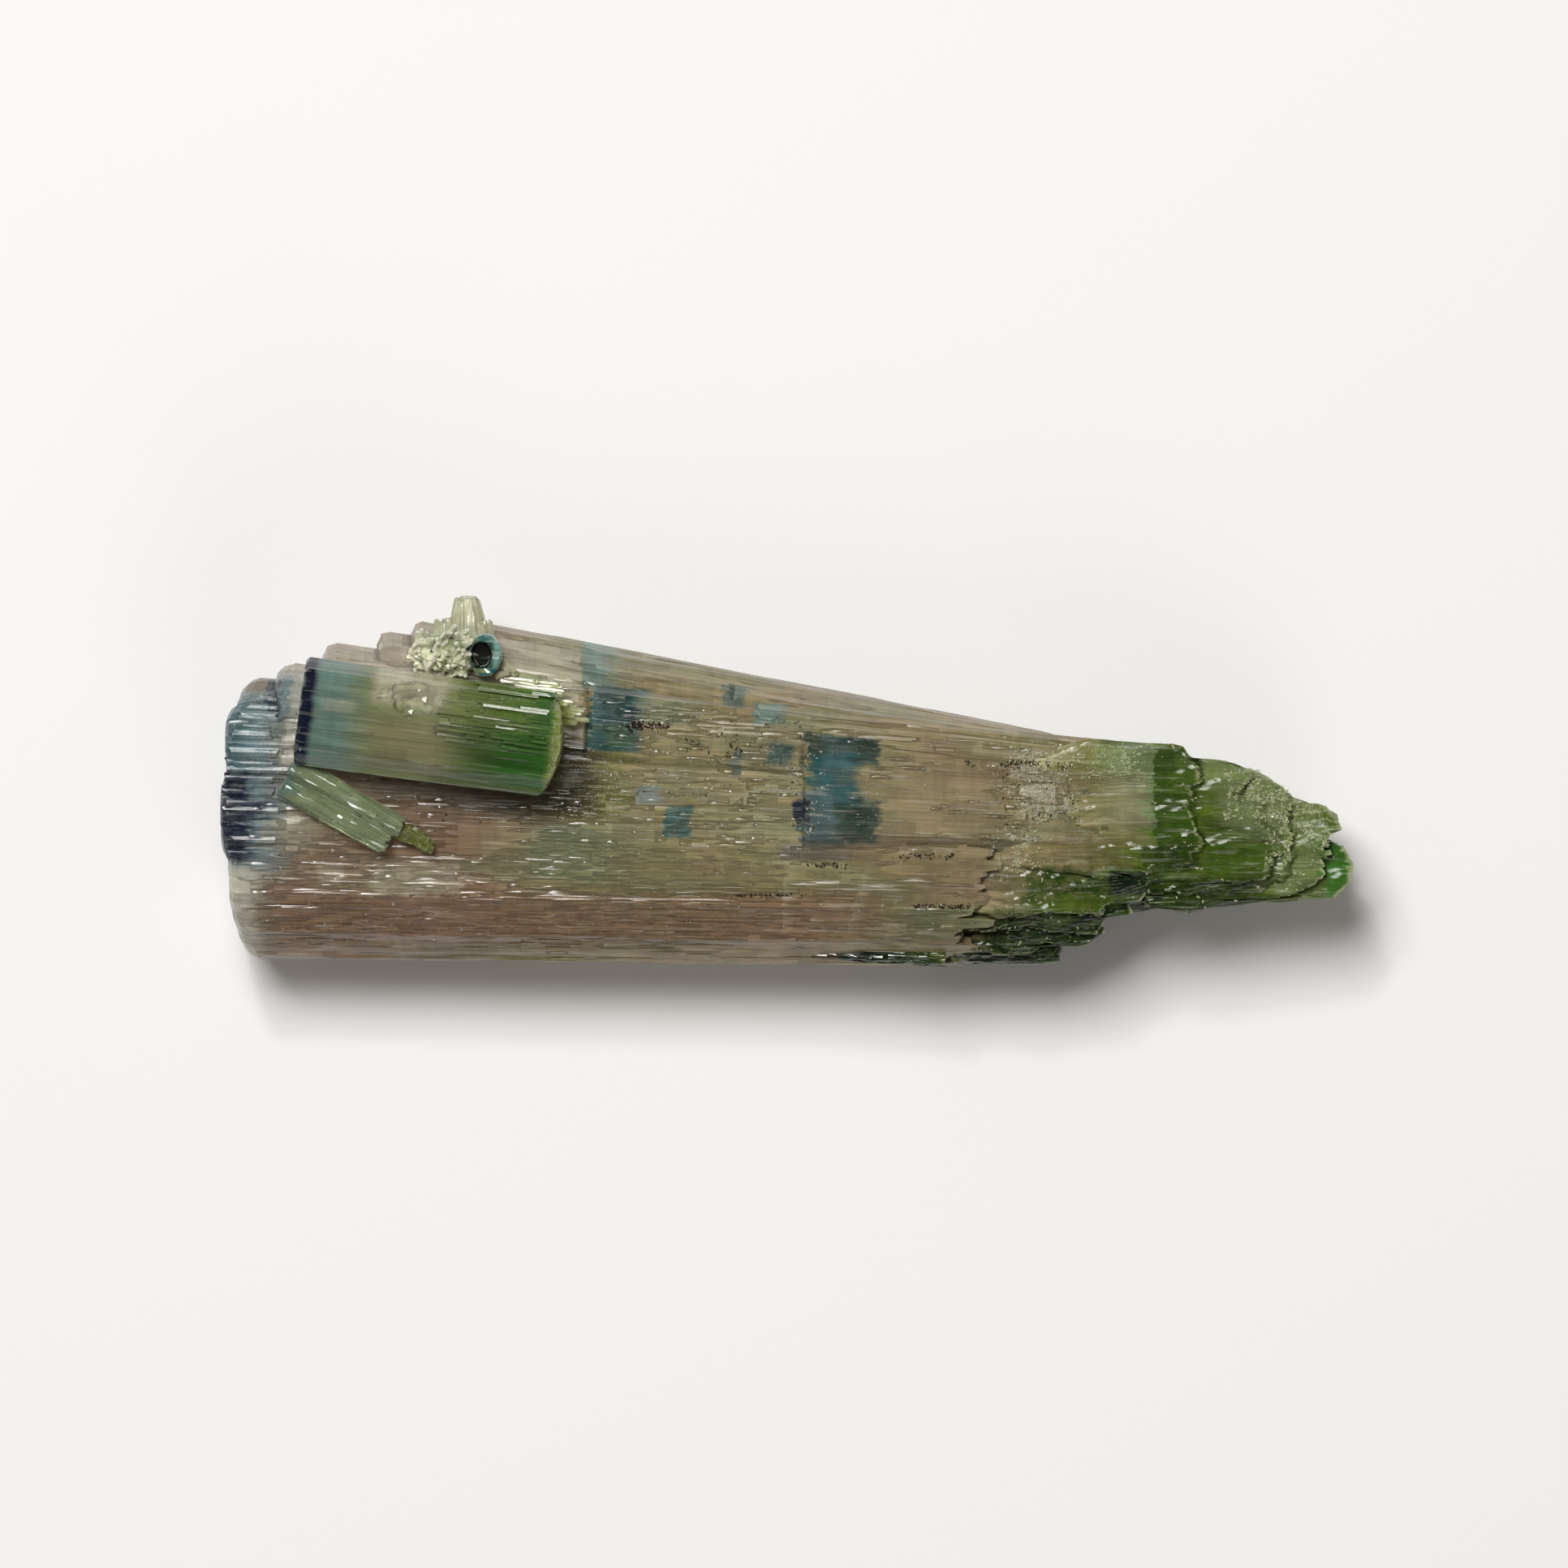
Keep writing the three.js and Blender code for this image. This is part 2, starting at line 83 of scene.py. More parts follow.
class Hue(Enum):
    """The colours of the crystal, as they look in plain light. Some of them also paint shadow, shade, sheen and glints
    on it.
    """

    NAVY = (2, 18, 54)
    DEEP_TEAL = (0, 64, 60)
    TEAL = (0, 100, 106)
    PALE_TEAL = (122, 162, 152)
    CLOUDY_BLUE = (92, 122, 128)
    BLUE_GREY = (140, 172, 182)
    VIOLET_GREY = (112, 106, 106)
    GREY = (132, 132, 120)
    PALE_GREY = (232, 230, 212)
    SHEEN = (222, 216, 186)
    ROSE = (160, 138, 112)
    BLUSH = (168, 132, 112)
    RED_BROWN = (146, 112, 84)
    # DARK_BROWN also paints the shadow that the perched crystal casts on the top
    DARK_BROWN = (48, 38, 6)
    NEAR_BLACK = (34, 28, 10)
    OLIVE = (170, 156, 112)
    PALE_OLIVE = (168, 154, 108)
    GREEN_GREY = (134, 150, 112)
    PALE_GREEN = (126, 138, 92)
    YELLOW_GREEN = (132, 138, 58)
    LEAF = (84, 106, 24)
    GREEN = (44, 74, 6)
    DARK_GREEN = (16, 40, 2)
    BLACK_GREEN = (8, 30, 14)
    VIVID_GREEN = (54, 116, 34)
    WHITE = (214, 212, 196)
    GREY_OLIVE = (146, 156, 108)
    LEAF_GREEN = (80, 112, 52)
    LIME = (168, 178, 92)
    GREY_GREEN = (160, 176, 134)
    PALE_OLIVE_GREEN = (138, 148, 104)
    PALE_KNOB = (236, 238, 204)
    PERCHED_TEAL = (126, 158, 146)
    SCALLOP = (218, 206, 186)
    PALE_CHIP = (214, 220, 172)

    def linear(self) -> tuple[float, float, float, float]:
        """The colour as a shader takes it."""
        return linear(self.value)


class Join(Enum):
    """The ways that one solid is joined with others."""

    UNITE = "UNION"
    CUT = "DIFFERENCE"


# Node trees


@dataclass(frozen=True)
class Port:
    """A named socket of a node group, with its kind and its first value."""

    name: str
    kind: str = "NodeSocketFloat"
    value: float | tuple | None = None


VECTOR = "NodeSocketVector"
COLOUR = "NodeSocketColor"
GEOMETRY = "NodeSocketGeometry"
MATERIAL = "NodeSocketMaterial"


@dataclass
class Wiring:
    """A node tree with short ways to add nodes and join them."""

    tree: bpy.types.NodeTree

    def add(self, kind: str, inputs: dict | None = None, **settings) -> bpy.types.Node:
        """Add a node.

        Args:
            kind: The node's type.
            inputs: Values or sockets for its inputs, by name or number.
            **settings: The node's own settings.

        Returns:
            The new node.
        """
        node = self.tree.nodes.new(kind)
        for name, value in settings.items():
            setattr(node, name, value)
        for key, value in (inputs or {}).items():
            self.feed(node.inputs[key], value)
        return node

    def feed(self, socket: bpy.types.NodeSocket, value: object) -> None:
        """Join a socket to another one, or set its value.

        Args:
            socket: The input to fill.
            value: A socket or a plain value.
        """
        if isinstance(value, bpy.types.NodeSocket):
            self.tree.links.new(value, socket)
        else:
            socket.default_value = value

    def maths(self, operation: str, *values: object) -> bpy.types.NodeSocket:
        """The result of a Math node."""
        return self.add("ShaderNodeMath", dict(enumerate(values)), operation=operation).outputs[0]

    def vectors(self, operation: str, *values: object) -> bpy.types.NodeSocket:
        """The vector result of a Vector Math node."""
        return self.add("ShaderNodeVectorMath", dict(enumerate(values)), operation=operation).outputs[0]

    def scaled(self, vector: object, factor: object) -> bpy.types.NodeSocket:
        """A vector times a number."""
        return self.add("ShaderNodeVectorMath", {0: vector, "Scale": factor}, operation="SCALE").outputs[0]

    def joined(self, x: object = 0.0, y: object = 0.0, z: object = 0.0) -> bpy.types.NodeSocket:
        """A vector from three numbers."""
        return self.add("ShaderNodeCombineXYZ", {0: x, 1: y, 2: z}).outputs[0]

    def parts(self, vector: object) -> list[bpy.types.NodeSocket]:
        """The three numbers of a vector."""
        return list(self.add("ShaderNodeSeparateXYZ", {0: vector}).outputs)

    def ramp(self, value: object, low: object, high: object, start: object = 0.0, stop: object = 1.0):
        """A number mapped smoothly from one range to another.

        Args:
            value: The number.
            low: Where the result starts to change.
            high: Where it stops.
            start: The result at low.
            stop: The result at high.

        Returns:
            The socket with the result.
        """
        given = {"Value": value, "From Min": low, "From Max": high, "To Min": start, "To Max": stop}
        return self.add("ShaderNodeMapRange", given, interpolation_type="SMOOTHSTEP").outputs[0]

    def mixed(self, factor: object, under: object, over: object, way: str = "MIX") -> bpy.types.NodeSocket:
        """A colour laid over another one.

        Args:
            factor: How much of the upper colour shows.
            under: The lower colour.
            over: The upper colour.
            way: How they combine.

        Returns:
            The socket with the colour.
        """
        node = self.add("ShaderNodeMix", {0: factor, 6: under, 7: over}, data_type="RGBA", blend_type=way)
        return node.outputs[2]

    def noise(self, vector: object, scale: object = 1.0, detail: float = 2.0, rough: float = 0.5):
        """The value of a noise texture."""
        given = {"Vector": vector, "Scale": scale, "Detail": detail, "Roughness": rough}
        return self.add("ShaderNodeTexNoise", given).outputs[0]

    def cells(self, vector: object, spread: float = 1.0, metric: str = "EUCLIDEAN"):
        """A random colour for each cell of a plane of cells."""
        given = {"Vector": vector, "Scale": 1.0, "Randomness": spread}
        return self.add("ShaderNodeTexVoronoi", given, voronoi_dimensions="2D", distance=metric).outputs["Color"]


def new_group(name: str, kind: str, takes: list[Port], gives: list[Port]):
    """Make a node group with its sockets.

    Args:
        name: The group's name.
        kind: The kind of tree.
        takes: Its inputs.
        gives: Its outputs.

    Returns:
        The wiring, the group's inputs by name and its output node.
    """
    tree = bpy.data.node_groups.new(name, kind)
    for port in takes:
        socket = tree.interface.new_socket(port.name, in_out="INPUT", socket_type=port.kind)
        if port.value is not None:
            socket.default_value = port.value
    for port in gives:
        tree.interface.new_socket(port.name, in_out="OUTPUT", socket_type=port.kind)
    wiring = Wiring(tree)
    return wiring, wiring.add("NodeGroupInput").outputs, wiring.add("NodeGroupOutput")


# Growth trees


def attribute(wiring: Wiring, name: str, kind: str) -> bpy.types.NodeSocket:
    """A named attribute inside a growth tree."""
    return wiring.add("GeometryNodeInputNamedAttribute", {"Name": name}, data_type=kind).outputs[0]


def striation_tree() -> bpy.types.NodeTree:
    """Make the tree that raises ribs along a column and breaks up its ends.

    Returns:
        The tree. It reads the points' grain (along, round, skin) and ends attributes.
    """
    takes = [
        Port("Geometry", GEOMETRY),
        Port("Rib Spacing", value=0.5 * MM),
        Port("Rib Depth", value=0.06 * MM),
        Port("Break Length", value=8 * MM),
        Port("Calm Top", value=0.6),
        Port("End Cell", value=1 * MM),
        Port("End Raggedness", value=0.3 * MM),
        Port("Seed", value=0.0),
        Port("Material", MATERIAL),
    ]
    wiring, given, result = new_group("striated column", "GeometryNodeTree", takes, [Port("Geometry", GEOMETRY)])
    along, around, skin = wiring.parts(attribute(wiring, "grain", "FLOAT_VECTOR"))
    ends = attribute(wiring, "ends", "FLOAT")
    seed = given["Seed"]
    height = None
    for octave, (wide, long, share) in enumerate(((1.0, 1.0, 1.0), (0.42, 0.45, 0.45), (2.6, 1.7, 0.6))):
        across = wiring.maths("DIVIDE", around, wiring.maths("MULTIPLY", given["Rib Spacing"], wide))
        run = wiring.maths("DIVIDE", along, wiring.maths("MULTIPLY", given["Break Length"], long))
        shift = wiring.maths("MULTIPLY_ADD", seed, 1.37, octave * 11.3)
        place = wiring.joined(wiring.maths("ADD", run, shift), wiring.maths("ADD", across, shift))
        draw = wiring.parts(wiring.cells(place, 0.9, "MANHATTAN"))[0]
        step = wiring.maths("MULTIPLY", wiring.maths("SUBTRACT", draw, 0.5), share)
        height = step if height is None else wiring.maths("ADD", height, step)
    upward = wiring.parts(wiring.add("GeometryNodeInputNormal").outputs[0])[2]
    calm = wiring.maths("SUBTRACT", 1.0, wiring.maths("MULTIPLY", given["Calm Top"], wiring.ramp(upward, 0.9, 0.99)))
    rib = wiring.maths("MULTIPLY", wiring.maths("MULTIPLY", height, given["Rib Depth"]), calm)
    normal = wiring.add("GeometryNodeInputNormal").outputs[0]
    ribbed = wiring.scaled(normal, wiring.maths("MULTIPLY", rib, skin))
    _, across, tall = wiring.parts(wiring.add("GeometryNodeInputPosition").outputs[0])
    cell = wiring.joined(
        wiring.maths("MULTIPLY_ADD", seed, 2.71, wiring.maths("DIVIDE", across, given["End Cell"])),
        wiring.maths("DIVIDE", tall, given["End Cell"]),
    )
    reach = wiring.parts(wiring.cells(cell, 0.85))[1]
    ragged = wiring.maths("MULTIPLY", wiring.maths("MULTIPLY", reach, given["End Raggedness"]), ends)
    offset = wiring.vectors("ADD", ribbed, wiring.joined(ragged))
    moved = wiring.add("GeometryNodeSetPosition", {"Geometry": given["Geometry"], "Offset": offset})
    plain = wiring.add("GeometryNodeRealizeInstances", {0: moved.outputs[0]})
    dressed = wiring.add("GeometryNodeSetMaterial", {"Geometry": plain.outputs[0], "Material": given["Material"]})
    wiring.feed(result.inputs[0], dressed.outputs[0])
    return wiring.tree


def blade_tree() -> bpy.types.NodeTree:
    """Make the tree that sets a blade on each point and joins the blades into one solid.

    Returns:
        The tree. It reads the points' span (length, width, height) and turn attributes.
    """
    takes = [
        Port("Geometry", GEOMETRY),
        Port("Crowding", value=2.0),
        Port("Tip Cut", value=0.01),
        Port("Sunk Ends", value=0.0),
        Port("Material", MATERIAL),
    ]
    wiring, given, result = new_group("blade bundle", "GeometryNodeTree", takes, [Port("Geometry", GEOMETRY)])
    cube = wiring.add(
        "GeometryNodeMeshCube",
        {"Size": (1, 1, 1), "Vertices X": 6, "Vertices Y": 2, "Vertices Z": 2},
    )
    x, _, z = wiring.parts(wiring.add("GeometryNodeInputPosition").outputs[0])
    left_over = wiring.maths("SUBTRACT", 0.5, x)
    crowded = wiring.maths("SUBTRACT", 0.5, wiring.maths("POWER", left_over, given["Crowding"]))
    at_end = wiring.maths("MULTIPLY", wiring.maths("GREATER_THAN", x, 0.45), wiring.maths("GREATER_THAN", z, 0.0))
    shift = wiring.maths("SUBTRACT", wiring.maths("SUBTRACT", crowded, x), wiring.maths("MULTIPLY", at_end, given["Tip Cut"]))
    doubled = wiring.maths("MULTIPLY", x, 2.0)
    sunk = wiring.maths("MULTIPLY", wiring.maths("MULTIPLY", doubled, doubled), given["Sunk Ends"])
    sunk = wiring.maths("MULTIPLY", sunk, wiring.maths("GREATER_THAN", z, 0.0))
    offset = wiring.joined(shift, 0.0, wiring.maths("MULTIPLY", sunk, -1.0))
    shaped = wiring.add("GeometryNodeSetPosition", {"Geometry": cube.outputs[0], "Offset": offset})
    turned = attribute(wiring, "turn", "FLOAT_VECTOR")
    spread = wiring.add(
        "GeometryNodeInstanceOnPoints",
        {
            "Points": given["Geometry"],
            "Instance": shaped.outputs[0],
            "Rotation": turned,
            "Scale": attribute(wiring, "span", "FLOAT_VECTOR"),
        },
    )
    joined = wiring.add("GeometryNodeMeshBoolean", operation="UNION", solver="MANIFOLD")
    wiring.feed(joined.inputs["Mesh 2"], spread.outputs[0])
    plain = wiring.add("GeometryNodeRealizeInstances", {0: joined.outputs[0]})
    dressed = wiring.add("GeometryNodeSetMaterial", {"Geometry": plain.outputs[0], "Material": given["Material"]})
    wiring.feed(result.inputs[0], dressed.outputs[0])
    return wiring.tree


def crumb_tree() -> bpy.types.NodeTree:
    """Make the tree that sets a small faceted crystal on each point, turned its own way.

    Returns:
        The tree. It reads the points' size attribute.
    """
    takes = [
        Port("Geometry", GEOMETRY),
        Port("Facets", "NodeSocketInt", 5),
        Port("Length Share", value=1.5),
        Port("Tip Share", value=0.5),
        Port("Tilt", value=1.0),
        Port("Join", "NodeSocketBool", False),
        Port("Seed", "NodeSocketInt", 0),
        Port("Material", MATERIAL),
    ]
    wiring, given, result = new_group("small crystals", "GeometryNodeTree", takes, [Port("Geometry", GEOMETRY)])
    prism = wiring.add(
        "GeometryNodeMeshCone",
        {
            "Vertices": given["Facets"],
            "Radius Top": wiring.maths("MULTIPLY", given["Tip Share"], 0.5),
            "Radius Bottom": 0.5,
            "Depth": given["Length Share"],
        },
    )
    tilt = given["Tilt"]
    turn = wiring.add("FunctionNodeRandomValue", {"Seed": given["Seed"]}, data_type="FLOAT_VECTOR")
    turn.inputs[0].default_value = (-1, -1, -math.pi)
    turn.inputs[1].default_value = (1, 1, math.pi)
    spin = wiring.vectors("MULTIPLY", turn.outputs[0], wiring.joined(tilt, tilt, 1.0))
    size = attribute(wiring, "size", "FLOAT")
    spread = wiring.add(
        "GeometryNodeInstanceOnPoints",
        {"Points": given["Geometry"], "Instance": prism.outputs[0], "Rotation": spin, "Scale": size},
    )
    joined = wiring.add("GeometryNodeMeshBoolean", operation="UNION", solver="MANIFOLD")
    wiring.feed(joined.inputs["Mesh 2"], spread.outputs[0])
    chosen = wiring.add("GeometryNodeSwitch", {0: given["Join"]}, input_type="GEOMETRY")
    wiring.feed(chosen.inputs[1], spread.outputs[0])
    wiring.feed(chosen.inputs[2], joined.outputs[0])
    plain = wiring.add("GeometryNodeRealizeInstances", {0: chosen.outputs[0]})
    dressed = wiring.add("GeometryNodeSetMaterial", {"Geometry": plain.outputs[0], "Material": given["Material"]})
    wiring.feed(result.inputs[0], dressed.outputs[0])
    return wiring.tree


# Meshes


def new_piece(name: str, mesh: bpy.types.Mesh) -> bpy.types.Object:
    """Link a mesh to the scene as an object at the origin."""
    piece = bpy.data.objects.new(name, mesh)
    bpy.context.scene.collection.objects.link(piece)
    return piece


def plain_mesh(piece: bpy.types.Object) -> bpy.types.Object:
    """Turn what an object's modifiers make into its own plain mesh.

    Args:
        piece: The object.

    Returns:
        The same object, with the new mesh and no modifiers.
    """
    evaluated = piece.evaluated_get(bpy.context.evaluated_depsgraph_get())
    mesh = bpy.data.meshes.new_from_object(evaluated)
    piece.modifiers.clear()
    piece.data = mesh
    mesh.name = piece.name
    return piece


def grown(piece: bpy.types.Object, tree: bpy.types.NodeTree, values: dict[str, object]) -> bpy.types.Object:
    """Run a growth tree on an object.

    Args:
        piece: The object whose mesh the tree takes.
        tree: The growth tree.
        values: The tree's inputs by name.

    Returns:
        The same object, as a plain mesh.
    """
    modifier = piece.modifiers.new(tree.name, "NODES")
    modifier.node_group = tree
    for socket in tree.interface.items_tree:
        if socket.item_type == "SOCKET" and socket.in_out == "INPUT" and socket.name in values:
            modifier[socket.identifier] = values[socket.name]
    return plain_mesh(piece)


def joined(piece: bpy.types.Object, others: list[bpy.types.Object], join: Join) -> bpy.types.Object:
    """Unite an object with others, or cut them out of it.

    Args:
        piece: The object to change.
        others: The objects to join or cut. They are removed afterwards.
        join: Which of the two.

    Returns:
        The changed object, as a plain mesh.
    """
    tools = bpy.data.collections.new(f"{piece.name} tools")
    bpy.context.scene.collection.children.link(tools)
    for other in others:
        tools.objects.link(other)
    modifier = piece.modifiers.new(join.value, "BOOLEAN")
    modifier.operation = join.value
    modifier.operand_type = "COLLECTION"
    modifier.collection = tools
    modifier.solver = "MANIFOLD"
    modifier.material_mode = "TRANSFER"
    plain_mesh(piece)
    for other in others:
        bpy.data.objects.remove(other)
    bpy.data.collections.remove(tools)
    return piece


def measure_crests(mesh: bpy.types.Mesh) -> None:
    """Give a mesh the crest attribute: how far each point sticks out, from -1 in a groove to 1 on an edge."""
    places = [vertex.co.copy() for vertex in mesh.vertices]
    normals = [vertex.normal.copy() for vertex in mesh.vertices]
    total, weight = [0.0] * len(places), [1e-6] * len(places)
    for edge in mesh.edges:
        first, second = edge.vertices
        way = places[second] - places[first]
        length = way.length
        if length == 0:
            continue
        share = min(1.0, length / CREST_REACH)
        total[first] -= way.dot(normals[first]) / length * share
        total[second] += way.dot(normals[second]) / length * share
        weight[first] += share
        weight[second] += share
    crests = [value / share for value, share in zip(total, weight)]
    mesh.attributes.new("crest", "FLOAT", "POINT").data.foreach_set("value", crests)


def finished(piece: bpy.types.Object) -> bpy.types.Object:
    """Args:
        piece: The finished object.

    Returns:
        The same object.
    """
    mesh = piece.data
    measure_crests(mesh)
    mesh.polygons.foreach_set("use_smooth", [True] * len(mesh.polygons))
    mesh.set_sharp_from_angle(angle=SHARP_ANGLE)
    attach(piece, BODY)
    return piece


@dataclass(frozen=True)
class Relief:
    """How a column's sides and ends are broken up, in millimetres."""

    spacing: float = 0.45
    depth: float = 0.085
    breaks: float = 9.0
    calm_top: float = 0.94
    end_cell: float = 2.0
    ragged: float = 0.35

    def values(self, seed: int, material: bpy.types.Material) -> dict[str, object]:
        """The growth tree's inputs for this relief."""
        return {
            "Rib Spacing": self.spacing * MM,
            "Rib Depth": self.depth * MM,
            "Break Length": self.breaks * MM,
            "Calm Top": self.calm_top,
            "End Cell": self.end_cell * MM,
            "End Raggedness": self.ragged * MM,
            "Seed": float(seed),
            "Material": material,
        }


@dataclass(frozen=True)
class Column:
    """One striated column, as a fine loft along its own X axis.

    The outline is the section at the left end, as corners (across, height). The far end is the same outline,
    scaled and shifted. A bowed left end reaches furthest at its middle, and an undercut right end at its top.
    """

    name: str
    start: float
    end: float
    outline: Outline
    far_scale: tuple[float, float] = (1.0, 1.0)
    far_shift: tuple[float, float] = (0.0, 0.0)
    rounding: float = 0.5
    bowed: float = 0.0
    blunt: float = 0.0
    undercut: float = 0.0
    near_ragged: float = 1.0
    far_ragged: float = 1.0
    relief: Relief = Relief()
    pitch: float = 0.17
    stride: float = 0.75

    CAP_SINKS = (0.04, 0.1, 0.17, 0.25, 0.33, 0.41, 0.49, 0.57, 0.65, 0.73, 0.81, 0.9)
    END_REACH = 1.6
    UNDERSIDE_COARSENESS = 2.0

    def section(self) -> list[Spot]:
        """The outline as many points: across, height and distance round."""
        area = sum(
            y * next_z - next_y * z
            for (y, z), (next_y, next_z) in zip(self.outline, self.outline[1:] + self.outline[:1])
        )
        corners = self.outline if area > 0 else self.outline[::-1]
        points, arc = [], 0.0
        for (y, z), (next_y, next_z) in zip(corners, corners[1:] + corners[:1]):
            length = math.hypot(next_y - y, next_z - z)
            faces_down = next_y - y > 0.5 * length
            pitch = self.pitch * (self.UNDERSIDE_COARSENESS if faces_down else 1.0)
            pieces = max(1, round(length / pitch))
            for piece in range(pieces):
                share = piece / pieces
                points.append((lerp(y, next_y, share), lerp(z, next_z, share), arc + length * share))
            arc += length
        return points

    def stations(self) -> list[Spot]:
        """The loft's rings: distance along, inset of the section, and share of the way to the cap's middle."""
        length, rounding = self.end - self.start, self.rounding
        start = [(0.0, rounding, sink) for sink in reversed(self.CAP_SINKS)]
        start += [(0.0, rounding, 0.0), (rounding * 0.35, rounding * 0.3, 0.0)]
        steps = max(2, round((length - 2 * rounding) / self.stride))
        sides = [(lerp(rounding, length - rounding, step / steps), 0.0, 0.0) for step in range(steps + 1)]
        stop = [(length - along, inset, sink) for along, inset, sink in reversed(start)]
        return start + sides + stop

    def at(self, along: float, across: float, tall: float) -> Spot:
        """A point of the straight column, bowed, tapered and shifted as the column is."""
        length = self.end - self.start
        share = along / length
        reach = max(abs(y) for y, _ in self.outline)
        middle = (min(y for y, _ in self.outline) + max(y for y, _ in self.outline)) / 2
        half = max(y for y, _ in self.outline) - middle
        bow = self.bowed * abs((across - middle) / half) ** 4
        back = self.undercut * (1 - tall / TOP) + self.blunt * (across / reach) ** 2
        return (
            self.start + lerp(bow, length - back, share),
            across * lerp(1, self.far_scale[0], share) + self.far_shift[0] * share,
            tall * lerp(1, self.far_scale[1], share) + self.far_shift[1] * share,
        )

    def skeleton(self) -> bpy.types.Object:
        """Make the loft, with the attributes that the growth tree reads.

        Returns:
            The object.
        """
        section, stations = self.section(), self.stations()
        length = self.end - self.start
        middle = [(min(p[axis] for p in section) + max(p[axis] for p in section)) / 2 for axis in (0, 1)]
        half = [max(p[axis] for p in section) - middle[axis] for axis in (0, 1)]
        places, grain, ends = [], [], []
        for along, inset, sink in stations:
            near, far = along / self.END_REACH, (length - along) / self.END_REACH
            weight = max(0.0, 1 - near) * self.near_ragged
            weight -= max(0.0, 1 - far / max(1.0, self.far_ragged * 0.6)) * self.far_ragged
            skin = 1.0 if inset == 0 else 0.0
            shrink = [(1 - inset / half[axis]) * (1 - sink) for axis in (0, 1)]
            for y, z, arc in section:
                across = middle[0] + (y - middle[0]) * shrink[0]
                tall = middle[1] + (z - middle[1]) * shrink[1]
                places.append(Vector(self.at(along, across, tall)) * MM)
                grain.append((along * MM, arc * MM, skin))
                ends.append(weight)
        size, rings = len(section), len(stations)
        for along, weight in ((0.0, self.near_ragged), (length, -self.far_ragged)):
            places.append(Vector(self.at(along, *middle)) * MM)
            grain.append((along * MM, 0.0, 0.0))
            ends.append(weight)
        faces = [
            (ring * size + (spot + 1) % size, ring * size + spot, (ring + 1) * size + spot, (ring + 1) * size + (spot + 1) % size)
            for ring in range(rings - 1)
            for spot in range(size)
        ]
        first, last = rings * size, rings * size + 1
        faces += [(first, spot, (spot + 1) % size) for spot in range(size)]
        faces += [(last, (rings - 1) * size + (spot + 1) % size, (rings - 1) * size + spot) for spot in range(size)]
        mesh = bpy.data.meshes.new(self.name)
        mesh.from_pydata(places, [], [face[::-1] for face in faces])
        mesh.attributes.new("grain", "FLOAT_VECTOR", "POINT").data.foreach_set("vector", [v for g in grain for v in g])
        mesh.attributes.new("ends", "FLOAT", "POINT").data.foreach_set("value", ends)
        return new_piece(self.name, mesh)

    def grow(self, tree: bpy.types.NodeTree, material: bpy.types.Material, seed: int, placing: Matrix | None = None):
        """Make the column with its ribs.

        Args:
            tree: The striated column tree.
            material: Its material.
            seed: The seed of its ribs.
            placing: Where it goes, or None for where its numbers say.

        Returns:
            The object, as a plain mesh.
        """
        piece = grown(self.skeleton(), tree, self.relief.values(seed, material))
        if placing is not None:
            piece.data.transform(placing)
        return piece


@dataclass(frozen=True)
class Rod:
    """A thin column from one point to another."""

    name: str
    start: Spot
    end: Spot
    wide: tuple[float, float]
    flat: float
    sides: int
    relief: Relief = Relief(spacing=0.3, depth=0.06, breaks=3.0, calm_top=0.0, end_cell=0.4, ragged=0.25)
    pitch: float = 0.1
    roll: float = 0.0

    def column(self) -> Column:
        """The rod as a column along X from 0."""
        length = (Vector(self.end) - Vector(self.start)).length
        turns = [2 * math.pi * (side + 0.5) / self.sides + self.roll for side in range(self.sides)]
        outline = tuple((self.wide[0] * math.cos(turn), self.wide[0] * self.flat * math.sin(turn)) for turn in turns)
        taper = self.wide[1] / self.wide[0]
        return Column(
            self.name, 0.0, length, outline, (taper, taper), rounding=self.wide[1] * 0.2,
            relief=self.relief, pitch=self.pitch, stride=0.35,
        )

    def grow(self, tree: bpy.types.NodeTree, material: bpy.types.Material, seed: int) -> bpy.types.Object:
        """Make the rod where it lies.

        Args:
            tree: The striated column tree.
            material: Its material.
            seed: The seed of its ribs.

        Returns:
            The object, as a plain mesh.
        """
        start = Vector(self.start)
        along = (Vector(self.end) - start).normalized()
        across = Vector((0, 0, 1)).cross(along).normalized()
        turn = Matrix((along, across, along.cross(across))).transposed().to_4x4()
        return self.column().grow(tree, material, seed, Matrix.Translation(start * MM) @ turn)


# Shader groups


